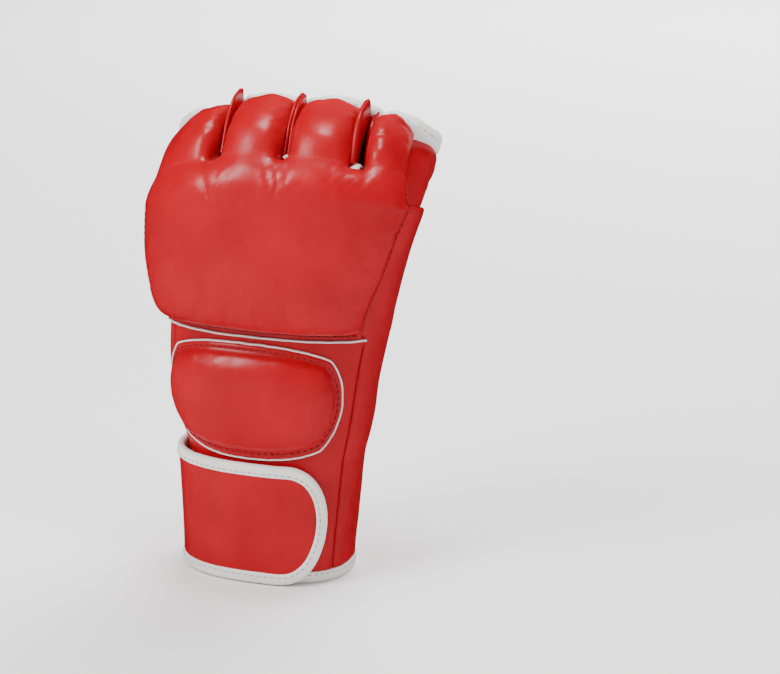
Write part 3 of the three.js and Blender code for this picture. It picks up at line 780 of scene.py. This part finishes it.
def cloth_wrinkles(points, held, used):
    """Wrinkles of a blown-up skin that is a little too large for its seams, from a cloth simulation.

    The simulated skin's smooth swelling is taken off again, which leaves the height of its wrinkles.
    """
    rows, columns = points.shape[:2]
    index = np.arange(rows * columns).reshape(rows, columns)
    faces = cells(index)[used.ravel()]
    mesh = bpy.data.meshes.new("skin")
    mesh.from_pydata((points.reshape(-1, 3) * CLOTH_SCALE).tolist(), [], faces.tolist())
    skin = bpy.data.objects.new("skin", mesh)
    scene = bpy.context.scene
    scene.collection.objects.link(skin)
    group = skin.vertex_groups.new(name="held")
    loose = np.ones(rows * columns, bool)
    loose[faces] = False
    group.add([int(v) for v in index[held | loose.reshape(rows, columns)]], 1.0, "REPLACE")
    cloth = skin.modifiers.new("cloth", "CLOTH")
    settings = cloth.settings
    for key, value in CLOTH.items():
        setattr(settings, key, value)
    settings.effector_weights.gravity = 0
    cloth.point_cache.frame_end = CLOTH_FRAMES
    first = scene.frame_current
    for frame_number in range(1, CLOTH_FRAMES + 1):
        scene.frame_set(frame_number)
    shaped = skin.evaluated_get(bpy.context.evaluated_depsgraph_get()).data
    flat = np.zeros(rows * columns * 3, np.float32)
    shaped.vertices.foreach_get("co", flat)
    moved = flat.reshape(rows, columns, 3) / CLOTH_SCALE - points
    scene.frame_set(first)
    bpy.data.objects.remove(skin)
    normals = grid_normals(points)
    rise = (moved * normals).sum(-1)
    smooth = rise.copy()
    for _ in range(12):
        smooth = np.pad(smooth, 1, mode="edge")
        smooth = (smooth[1:-1, 2:] + smooth[1:-1, :-2] + smooth[2:, 1:-1] + smooth[:-2, 1:-1]) / 4
    wrinkle = np.where(held, 0, rise - smooth)
    return np.clip(wrinkle, -1.0, 1.0) * WRINKLES


def finger_columns():
    """X of every column at the knuckles, and each finger's first and last column."""
    columns, spans = [], []
    for finger in FINGERS:
        low, high = finger_span(finger)
        count = int(round((high - low) / PAD_CELL))
        first = len(columns)
        columns += list(np.linspace(low, high, count + 1))
        spans.append((first, len(columns) - 1))
        if finger is not FINGERS[-1]:
            gap = 2 * SLIT_HALVES[len(spans) - 1]
            columns += [high + gap / 3, high + gap * 2 / 3]
    return np.array(columns), spans


def solid_grid(name, outer, inner, normals=None):
    """A closed leather piece between two grids of points, with walls round their borders."""
    top = np.arange(outer[..., 0].size).reshape(outer.shape[:2])
    under = top + top.size
    skin = cells(top)
    rim = np.concatenate([top[0, :-1], top[:-1, -1], top[-1, :0:-1], top[:0:-1, 0]])
    walls = cells(np.stack([rim, rim + top.size]), True, flip=True)
    faces = np.concatenate([skin, cells(under, flip=True), walls])
    vertices = np.concatenate([outer.reshape(-1, 3), inner.reshape(-1, 3)])
    obj = make_object(name, vertices, faces, [RED])
    if normals is not None:
        # A zero leaves a corner's own normal as it is.
        corners = np.zeros((faces.size, 3))
        corners[: skin.size] = normals.reshape(-1, 3)[skin.ravel()]
        obj.data.normals_split_custom_set(corners.tolist())
    return obj


def slits(spans):
    """Last column before each slit and first column past it."""
    return [(last, first) for (_, last), (first, _) in zip(spans, spans[1:])]


def pad_thickness(base, normal, columns, rows, fixed):
    """Thickness of the blown-up pad over its grid, with its unevenness."""
    puff = 1.5 - 0.55 * ramp(rows, 0.9, 2.5)[:, None]
    height = inflate(base + normal * 14, fixed) * puff
    # The swelling levels off towards a limit, which is lower past the knuckles.
    limit = 22.5 - (6 * ramp(rows, 1.2, 2.4) + 7 * ramp(rows, 2.3, 3.0))[:, None]
    share = height / limit
    height = limit * share / (1 + share**PAD_CREST) ** (1 / PAD_CREST)

    # Thicker at the open ends, where the pad's layers are bound.
    ending = ramp(rows, 2.55, 3.6)[:, None]
    from_side = np.minimum(columns - columns[0], columns[-1] - columns)[None, :]
    slit_wall = SLIT_WALL * ramp(rows, 1.75, 2.35)[:, None] * ramp(from_side, 2, 14)
    floor = np.hypot(PAD_FOOT, slit_wall)
    floor = floor + (pad_tip(columns)[None, :] - floor) * ending
    soft = uneven(base, (0.028, 5.0, 0.7), (0.07, 6.0, 0.35))
    tight = wobble(base * np.array([1, 1, 0.6]), 0.22, 7.0) * np.exp(-height / 5) * 1.1
    return np.hypot(floor, height) + soft * ramp(height, 0, 14) + tight * ramp(height, 0, 3)


def pad_seams(outer, normal, foot):
    """Stitches along the pad's foot and up its two sides."""
    seam = outer[1, 1:-1] + normal[1, 1:-1] * 0.1
    threads = [stitches("knuckle_pad_stitches", seam, normal[1, 1:-1], RED_THREAD, radius=0.42)]
    for side, column in (("thumb", -2), ("pinky", 1)):
        line, up = outer[3:foot, column], normal[3:foot, column]
        threads.append(stitches(f"knuckle_{side}_stitches", line, up, RED_THREAD))
    for thread in threads:
        place(thread, "hand", "red_leather")


def build_knuckle_pad():
    """The padded skin over the hand and the fingers, cut at the slits' feet into five pieces."""
    columns, spans = finger_columns()
    hand_rows = np.concatenate([np.linspace(0, 1, 46), np.linspace(1, 2, 9)[1:]])
    rows = np.concatenate([hand_rows, np.linspace(2, 3, 26)[1:], np.linspace(3, 4, 6)[1:]])
    foot = len(hand_rows) - 1
    base, normal = pad_base(columns, rows)
    fixed = np.zeros(base.shape[:2], bool)
    fixed[:FLANGE_ROWS] = fixed[:, 0] = fixed[:, -1] = fixed[-1] = True
    for last, first in slits(spans):
        fixed[foot:, last : first + 1] = True
    outer = base + normal * pad_thickness(base, normal, columns, rows, fixed)[..., None]
    used = np.ones((len(rows) - 1, len(columns) - 1), bool)
    for last, first in slits(spans):
        used[foot:, last:first] = False
    held = fixed.copy()
    held[foot : foot + 2] |= fixed[foot + 1]
    outer = outer + normal * cloth_wrinkles(outer, held, used)[..., None]
    inner = base + normal * 0.4

    skin_normals = grid_normals(outer)
    for first, last in spans:
        part = slice(first, last + 1)
        skin_normals[:, part] = grid_normals(outer[:, part])
    # The skin's shading runs on smoothly across the hand, slits or not.
    skin_normals[: foot - 1] = grid_normals(outer)[: foot - 1]
    if (skin_normals[20, 20] * normal[20, 20]).sum() < 0:
        skin_normals = -skin_normals
    hand = slice(0, foot + 1)
    pad = solid_grid("knuckle_pad", outer[hand], inner[hand], skin_normals[hand])
    place(pad, "hand", "red_leather", "knuckle_pad_foam", "knuckle_pad_cover")
    pad_seams(outer, normal, foot)
    for finger, (first, last) in zip(FINGERS, spans):
        part = (slice(foot, None), slice(first, last + 1))
        name = f"{finger.name}_pad"
        lobe = solid_grid(name, outer[part], inner[part], skin_normals[part])
        bend_with(lobe, finger, "red_leather", f"{name}_foam", f"{name}_cover")


def bend_with(obj, finger, slot, *nodes):
    """Bakes a piece's placement into its mesh and hides the CAD nodes that it stands for; the finger is not
    used.
    """
    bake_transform(obj)
    dress(obj, slot, *nodes)


def build_pad_seam():
    """The pad's raw edge, a pale line along the seam."""
    path, face = around(BACK_FROM + 1.2, BACK_TO - 1.2, PAD_SEAM_Z - 1.0, LEATHER + 0.75, 1.0)
    path = path + UP * (0.3 * wobble(path, 0.15))[:, None]
    rings = along_path(path, everywhere(path, UP), face, raw_edge_profile(0.48, 0.25, 0.3))
    welt = loft("pad_raw_edge", rings, RAW_EDGE, closed=False)
    place(welt, "hand", "white_binding", "pad_seam_welt")


def build_crotches():
    """White tape at the foot of each slit."""
    for finger, following in zip(FINGERS, FINGERS[1:]):
        name = f"{finger.name}_{following.name}"
        x, z = finger.high, (finger.knuckle + following.knuckle) / 2
        axis_y = float(back_y(x, z)) + KNUCKLE_DEPTH
        reach = 12 if name == "middle_index" else 6
        radius = np.linspace(KNUCKLE_DEPTH - 5, KNUCKLE_DEPTH + reach, 14)
        angle = np.radians(SLIT_FOOT + 2.5 - 5 * ramp(radius, KNUCKLE_DEPTH + 4, KNUCKLE_DEPTH + 12))
        path = np.stack([x + 0 * radius, axis_y - radius * np.cos(angle), z + radius * np.sin(angle)], -1)
        ahead = np.stack([0 * radius, np.sin(angle), np.cos(angle)], -1)
        turn = np.linspace(0, 2 * math.pi, 12, endpoint=False)
        profile = np.stack([2.3 * np.cos(turn), 1.5 * np.sin(turn)], -1)
        scale = np.clip(1 - ramp(radius, radius[-3], radius[-1]) * 0.5, 0.4, 1)[:, None, None]
        ring = along_path(0 * path, everywhere(path, (1, 0, 0)), ahead, profile) * scale
        tape = loft(f"slit_tape_{name}", path[:, None] + ring, WHITE, closed=False)
        place(tape, "hand", "white_binding", f"crotch_binding_{name}")


# ------------------------------------------------------------------ wrist pad

WRIST_LOW, WRIST_HIGH = 64, 122
WRIST_FROM, WRIST_TO = -150, -41  # degrees round the shell
WRIST_FLANGE = 4.0
WRIST_THICK = 8.2
WRIST_EDGE = 1.5
WRIST_ROUND = 0.38  # how much the outline is rounded
WRIST_FACE = LEATHER + 0.2  # the pad's underside, off the shell


def wrist_place(p, q, inset=0.0):
    """Angle and height of a place in the wrist pad's rounded outline, p and q from -1 to 1."""
    half_angle = (WRIST_TO - WRIST_FROM) / 2 - inset / DEGREE
    half_height = (WRIST_HIGH - WRIST_LOW) / 2 - inset
    angle = (WRIST_FROM + WRIST_TO) / 2 + half_angle * p * np.sqrt(1 - WRIST_ROUND * q * q)
    return angle, (WRIST_LOW + WRIST_HIGH) / 2 + half_height * q * np.sqrt(1 - WRIST_ROUND * p * p)


def wrist_outline(inset, offset):
    """Closed path round the wrist pad, with directions out of its edge and out of the leather."""
    side = np.linspace(-1, 1, 60)[:-1]
    one = np.ones_like(side)
    p = np.concatenate([side, one, -side, -one])
    q = np.concatenate([-one, side, one, -side])
    angle, z = wrist_place(p, q, inset)
    path = resample(shell(angle, z, offset), 1.0, closed=True)
    face = shell_face(path)
    along = np.roll(path, -1, axis=0) - np.roll(path, 1, axis=0)
    return path, unit(np.cross(along, face)), face


def build_wrist_pad():
    p, q = np.meshgrid(np.linspace(-1, 1, 73), np.linspace(-1, 1, 49))
    base = shell(*wrist_place(p, q), WRIST_FACE)
    border, _, _ = wrist_outline(0, WRIST_FACE)
    distance = np.min(np.linalg.norm(base[:, :, None] - border[None, None], axis=-1), axis=-1)
    inside = np.clip((distance - WRIST_FLANGE) / 14.0, 0, 1)
    rise = np.sqrt(1 - (1 - inside) ** 2.2)
    soft = uneven(base, (0.045, 8.0, 0.8), (0.1, 9.0, 0.35))
    tight = wobble(base, 0.26, 10.0) * np.exp(-np.abs(distance - 5) / 3.5) * 0.55
    edge = WRIST_EDGE * np.sqrt(np.clip(distance / 0.8, 0.2, 1))
    thickness = edge + (WRIST_THICK - WRIST_EDGE) * rise + soft * rise
    thickness = np.maximum(thickness + tight * ramp(distance, 2, 5), 0.9)
    outward = grid_normals(base)
    if outward[20, 36, 1] > 0:
        outward = -outward
    outer = base + outward * thickness[..., None]
    pad = solid_grid("wrist_pad", outer, base)
    recalculate(pad)
    place(pad, "hand", "red_leather", "wrist_pad_foam", "wrist_pad_cover", "wrist_pad_flange")

    path, edge_way, face = wrist_outline(-0.5, LEATHER + 0.9)
    path = path + edge_way * (0.2 * wobble(path, 0.2, 2.0))[:, None]
    rings = along_path(path, edge_way, face, raw_edge_profile(0.42, 0.22, 0.4))
    place(loft("wrist_pad_raw_edge", rings, RAW_EDGE), "hand", "white_binding")
    path, _, face = wrist_outline(2.3, LEATHER + 1.7)
    thread = stitches("wrist_pad_stitches", path, face, RED_THREAD, radius=0.42, closed=True)
    place(thread, "hand", "red_leather")


# ------------------------------------------------------------------ finger stalls

STALL_WALL = 1.6
STALL_SIDES = 56
STALL_START = -16.0  # degrees past the knuckle line
STALL_BEND = 0.85  # share of the rows that lies on the curl, the rest being straight
PALM_STRIP_TOP = 15
PALM_STRIP_LOW = 12
TUBE_SQUARENESS = 3.0
TUCKED = 9.0  # of a stall's palm side that lies inside the shell
END_TAPE, END_TAPE_THICK = 8.4, 3.4


def curl_point(finger, radius, turn, along=0.0):
    """Y and Z at a radius and an angle past the knuckle line, in a finger's side view."""
    s, c = np.sin(np.radians(turn)), np.cos(np.radians(turn))
    return knuckle_y(finger) - radius * c + along * s, finger.knuckle + radius * s + along * c


def stall_frame(finger, rows):
    """Back and palm points of a stall's sections, from 0 inside the shell to 1 at the open end."""
    palm_y = float(shell(90, finger.knuckle)[1]) - 2.2
    turn = STALL_START + (finger.curl - STALL_START) * np.clip(rows / STALL_BEND, 0, 1)
    along = finger.tip * np.clip((rows - STALL_BEND) / (1 - STALL_BEND), 0, 1)
    back_at_y, back_at_z = curl_point(finger, KNUCKLE_DEPTH - 0.6, turn, along)
    palm_z = finger.knuckle - PALM_STRIP_LOW - TUCKED + (PALM_STRIP_TOP + PALM_STRIP_LOW + TUCKED) * rows
    back = np.stack([0 * rows, back_at_y, back_at_z], -1)
    palm = np.stack([0 * rows, palm_y + 0 * rows, palm_z], -1)
    return back, palm


def stall_sides(finger):
    """Lowest and highest X of a stall's tube."""
    low = -56.5 if finger.name == "pinky" else finger.low + 0.45
    high = 71.5 if finger.name == "index" else finger.high - 0.45
    return low, high


def stall_loops(finger, rows, inset=0.0):
    """Closed loops of points round a stall at the given rows."""
    back, palm = stall_frame(finger, rows)
    low, high = stall_sides(finger)
    centre, deep = (back + palm) / 2, (back - palm) / 2
    half_depth = np.linalg.norm(deep, axis=-1, keepdims=True)
    turn = np.linspace(0, 2 * math.pi, STALL_SIDES, endpoint=False)
    c, s = np.cos(turn), np.sin(turn)
    power = 2 / TUBE_SQUARENESS
    across = ((high - low) / 2 - inset) * np.sign(c) * np.abs(c) ** power
    tuck = 1.5 * (1 - ramp(rows, 0.3, 0.8))[:, None]
    outer_side = {"pinky": -1, "index": 1}.get(finger.name, 0)
    into = np.sign(s) * np.abs(s) ** power
    depth = unit(deep)[:, None] * ((half_depth - inset) * into[None, :])[..., None]
    loops = centre[:, None] + depth
    lean = np.clip(across / ((high - low) / 2) * outer_side, 0, 1)[None, :]
    loops[..., 0] = (low + high) / 2 + across[None, :] - outer_side * tuck * lean
    # The outer stalls round off with the side of the hand.
    if outer_side:
        outer_x = (loops[..., 0] - (low + high) / 2) / ((high - low) / 2)
        outer = np.clip(outer_x * outer_side, 0, 1)
        pull = 8.5 * ramp(outer, 0.1, 1.0) * np.clip(into, 0, 1)[None, :]
        loops = loops - unit(deep)[:, None] * pull[..., None]
    return inside_shell(loops, 1.0 + inset)


def inside_shell(points, inset):
    """Draws the palm side of a stall in to the shell's outline."""
    half_width, half_depth, middle_x, middle_y = spline(SHELL, np.clip(points[..., 2], 0, 203))
    inset = inset - 4.5 * ramp(points[..., 2], 197, 212)
    x, y = points[..., 0] - middle_x, points[..., 1] - middle_y
    reach = np.abs(x / (half_width - inset)) ** SQUARENESS + np.abs(y / (half_depth - inset)) ** SQUARENESS
    pull = np.minimum(1, np.maximum(reach, 1e-6) ** (-1 / SQUARENESS))
    pull = 1 + (pull - 1) * ramp(y, -14, 4)
    inner = points.copy()
    inner[..., 0] = middle_x + x * pull
    inner[..., 1] = middle_y + y * pull
    return inner


def build_stall(finger):
    name = finger.name
    rows = np.linspace(0, 1, 22)
    outer, inner = stall_loops(finger, rows), stall_loops(finger, rows, STALL_WALL)
    soft = wobble(outer, 0.08, 11.0) * 0.45 * ramp(rows, 0, 0.2)[:, None]
    outer = outer + unit(outer - outer.mean(axis=1, keepdims=True)) * soft[..., None]
    both = np.concatenate([outer, inner[::-1]])
    index = np.arange(both[..., 0].size).reshape(both.shape[:2])
    kinds = np.repeat([0, 1], index.size // 2)
    faces = cells(index, True, True)
    tube = make_object(f"{name}_sleeve", both.reshape(-1, 3), faces, [RED, LINING], kinds, sharp=50)
    recalculate(tube)
    bend_with(tube, finger, "red_leather", f"{name}_stall")

    low, high = stall_sides(finger)
    if name != "pinky":
        build_divider(finger, f"{name}_low_wall", low + 0.4 + (0.75 if name == "index" else 0))
    if name != "index":
        build_divider(finger, f"{name}_high_wall", high - 0.4 - (0.75 if name == "middle" else 0))
    build_end_tape(finger, outer)


def build_divider(finger, piece, x):
    """The upright leather between two fingers, from a stall's back out to its pad's crest."""
    wide = 2.9 if piece in ("middle_high_wall", "index_low_wall") else STALL_WALL
    curl, tip = finger.curl, finger.tip
    length = math.radians(curl - SLIT_FOOT) * KNUCKLE_DEPTH * 1.3 + tip
    u, v = np.meshgrid(ticks(length, 1.8), ticks(17, 1.8))
    turn = SLIT_FOOT + 1 + (curl - SLIT_FOOT - 1) * np.clip(u / 0.84, 0, 1)
    along = (tip - 0.5) * np.clip((u - 0.84) / 0.16, 0, 1)
    reach = KNUCKLE_DEPTH + 6 + 6 * ramp(u, 0.05, 0.8) - 1.2 * ramp(u, 0.93, 1.0)
    radius = (KNUCKLE_DEPTH - 3) + (reach - KNUCKLE_DEPTH + 3) * v
    y, z = curl_point(finger, radius, turn, along)
    sway = 0.3 * np.sin(v * math.pi) * wobble(np.stack([y * 0 + x, y, z], -1), 0.08, 4.0)
    points = np.stack([x + sway, y, z], -1)
    wall = sheet_piece(piece, points, wide, (RED, RED))
    recalculate(wall)
    bend_with(wall, finger, "red_leather")


def build_end_tape(finger, outer):
    """White tape folded over a stall's open end, taking in the end of its pad on the back."""
    name = finger.name
    rim, below = outer[-1], outer[-3]
    middle = rim.mean(axis=0)
    back, palm = stall_frame(finger, np.array([1.0]))
    depth = unit(back - palm)[0]
    hold = np.clip(((rim - middle) @ depth) / 8.0, 0, 1)  # 1 along the back
    path = rim + unit(rim - middle) * -0.3
    edge = unit(rim - below)
    edge = unit(edge + np.roll(edge, 1, axis=0) + np.roll(edge, -1, axis=0))
    along = np.roll(path, -1, axis=0) - np.roll(path, 1, axis=0)
    face = unit(np.cross(along, edge))
    if ((path - middle) * face).sum() < 0:
        face = -face
    swell = 1 + 0.06 * np.sin(np.arange(len(path)) * 2.1)
    pad_end = pad_tip(path[:, 0])
    lift = hold * (pad_end * 0.5 + 0.2)
    wide = 1 + hold * ((pad_end + 0.8) / END_TAPE_THICK)
    profile = tape_profile(END_TAPE, END_TAPE_THICK)
    tape = loft(f"{name}_end_tape", along_path(path, edge, face, profile, -0.9, swell * wide, lift), WHITE)
    bend_with(tape, finger, "white_binding", f"{name}_end_binding")
    seam = path + edge * -3.4 + face * (lift + 1.68 * wide)[:, None]
    thread = stitches(f"{name}_end_stitches", seam, face, WHITE_THREAD_PAINTED_SHADE, closed=True)
    bend_with(thread, finger, "white_binding")


# ------------------------------------------------------------------ strap

STRAP_LOW, STRAP_HIGH = 0.4, 62
STRAP_INNER, STRAP_THICK = 4.5, 2.6
# Degrees round the shell: the sewn end, the split between the root and tip pieces, the start of the round
# end and its tip.
STRAP_ROOT, STRAP_SPLIT, STRAP_ARC, STRAP_END = 62.8, 204, 286, 315.5
STRAP_MIDDLE = STRAP_INNER + STRAP_THICK / 2
STRAP_LEVEL = (STRAP_LOW + STRAP_HIGH) / 2
HALF_STRAP = (STRAP_HIGH - STRAP_LOW) / 2
STRAP_INSET = 1.2  # of the leather, inside the tape's edge


def strap_end(z, inset=0.0):
    """Angle where the strap's rounded end stops at a height."""
    across = (z - STRAP_LEVEL) / (HALF_STRAP - inset)
    end = STRAP_END - inset / DEGREE
    return STRAP_ARC + (end - STRAP_ARC) * np.sqrt(np.clip(1 - across * across, 0, 1))


def bend_strap(half, obj, slot, *nodes):
    """Bakes a strap piece's placement into its mesh and hides the CAD nodes that it stands for; the half is
    not used.
    """
    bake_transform(obj)
    dress(obj, slot, *nodes)


def strap_relief(points, distance):
    soft = 0.6 * wobble(points, 0.045, 12.0) * ramp(distance, 5, 14)
    return soft + 0.3 * wobble(points, 0.2, 13.0) * np.exp(-distance / 9) * ramp(distance, 4, 7)


def build_strap():
    across = ticks(2 * HALF_STRAP, 2.0)
    z_low, z_high = STRAP_LOW + STRAP_INSET, STRAP_HIGH - STRAP_INSET
    u, share = np.meshgrid(ticks(120, 2.2), across)
    root = shell(STRAP_ROOT + (STRAP_SPLIT - STRAP_ROOT) * u, z_low + (z_high - z_low) * share, STRAP_MIDDLE)
    leather = sheet_piece("strap_root_leather", root, STRAP_THICK, (RED, LOOPS), relief=strap_relief)
    bend_strap("root", leather, "red_leather", "strap_root", "strap_band")

    u, turn = np.meshgrid(ticks(112, 2.0), np.linspace(0, 1, 46))
    z = STRAP_LEVEL - (HALF_STRAP - STRAP_INSET) * np.cos(turn * math.pi)
    angle = STRAP_SPLIT + (strap_end(z, STRAP_INSET) - STRAP_SPLIT) * u
    tip = sheet_piece("strap_tip_leather", shell(angle, z, STRAP_MIDDLE), STRAP_THICK, relief=strap_relief)
    bend_strap("tip", tip, "red_leather", "strap_tip")

    middle = TAPE / 2
    low, high = STRAP_LOW + middle, STRAP_HIGH - middle
    for side, level, way in (("lower", low, -1), ("upper", high, 1)):
        path, face = around(STRAP_ROOT, STRAP_SPLIT, level, STRAP_MIDDLE)
        nodes = [f"strap_{part}_{side}_binding" for part in ("root", "band")]
        strap_tape("root", f"strap_{side}_tape", path, everywhere(path, (0, 0, way)), face, *nodes)

    z = STRAP_LEVEL - (HALF_STRAP - middle) * np.cos(np.linspace(0, 1, 160) * math.pi)
    run = np.linspace(STRAP_SPLIT, STRAP_ARC, 60)[:-1]
    angle = np.concatenate([run, strap_end(z, middle), run[::-1]])
    heights = np.concatenate([0 * run + low, z, 0 * run + high])
    path = resample(shell(angle, heights, STRAP_MIDDLE), 1.5)
    face = shell_face(path)
    edge = unit(np.cross(np.gradient(path, axis=0), face))
    strap_tape("tip", "strap_tip_tape", path, edge, face, "strap_tip_binding")


def strap_tape(half, name, path, edge, face, *nodes):
    """White tape along an edge of the strap."""
    swell = 1 + 0.06 * np.sin(2 * np.pi * run_length(path) / STITCH_PITCH)
    stray = np.minimum(0.2 * wobble(path, 0.12, 3.0), 0)
    tape, *rows = white_tape(name, path, edge, face, STRAP_THICK + 1.3, stray, swell)
    bend_strap(half, tape, "white_binding", *nodes)
    for row in rows:
        bend_strap(half, row, "white_binding")


def nap(height, seed):
    """The uneven pile of hook or loop tape."""
    return lambda points, _: uneven(points, (0.9, seed, 0.6 * height), (0.25, seed, 0.4 * height))


def patch_stitches(piece, start, end, low, high, offset, way):
    """Stitches round a patch, with their raised side the given way from the shell."""
    side = np.linspace(start, end, 30)
    tall = np.linspace(low, high, 16)
    angle = np.concatenate([side, end + 0 * tall, side[::-1], start + 0 * tall])
    z = np.concatenate([low + 0 * side, tall, high + 0 * side, tall[::-1]])
    face = shell_outward(angle, z) * way
    return stitches(f"{piece}_stitches", shell(angle, z, offset), face, LINING, radius=0.3, closed=True)


def build_closure():
    """Loop tape on the back of the wrist and hook tape under the strap's end."""
    points = panel_points(-128, -58, 12, 51, LEATHER + 0.85, 0.9)
    loops = sheet_piece("loop_patch", points, 1.2, (LOOPS, LOOPS), relief=nap(0.35, 20.0))
    place(loops, "hand", "loop_tape", "loop_tape")
    points = panel_points(268 - 360, 294 - 360, 14, 49, STRAP_INNER - 0.7, 0.9)
    hooks = sheet_piece("hook_patch", points, 1.0, (HOOKS, HOOKS), relief=nap(0.3, 21.0))
    bend_strap("tip", hooks, "hook_tape", "hook_tape")
    thread = patch_stitches("loop_patch", -126.4, -59.6, 13.6, 49.4, LEATHER + 1.5, 1)
    place(thread, "hand", "loop_tape")
    thread = patch_stitches("hook_patch", 269.6 - 360, 292.4 - 360, 15.6, 47.4, STRAP_INNER - 1.25, -1)
    bend_strap("tip", thread, "hook_tape")


# ------------------------------------------------------------------ build

build_hand_panels()
build_lining()
build_bindings()
build_knuckle_pad()
build_pad_seam()
build_crotches()
build_wrist_pad()
for each in FINGERS:
    build_stall(each)
build_strap()
build_closure()
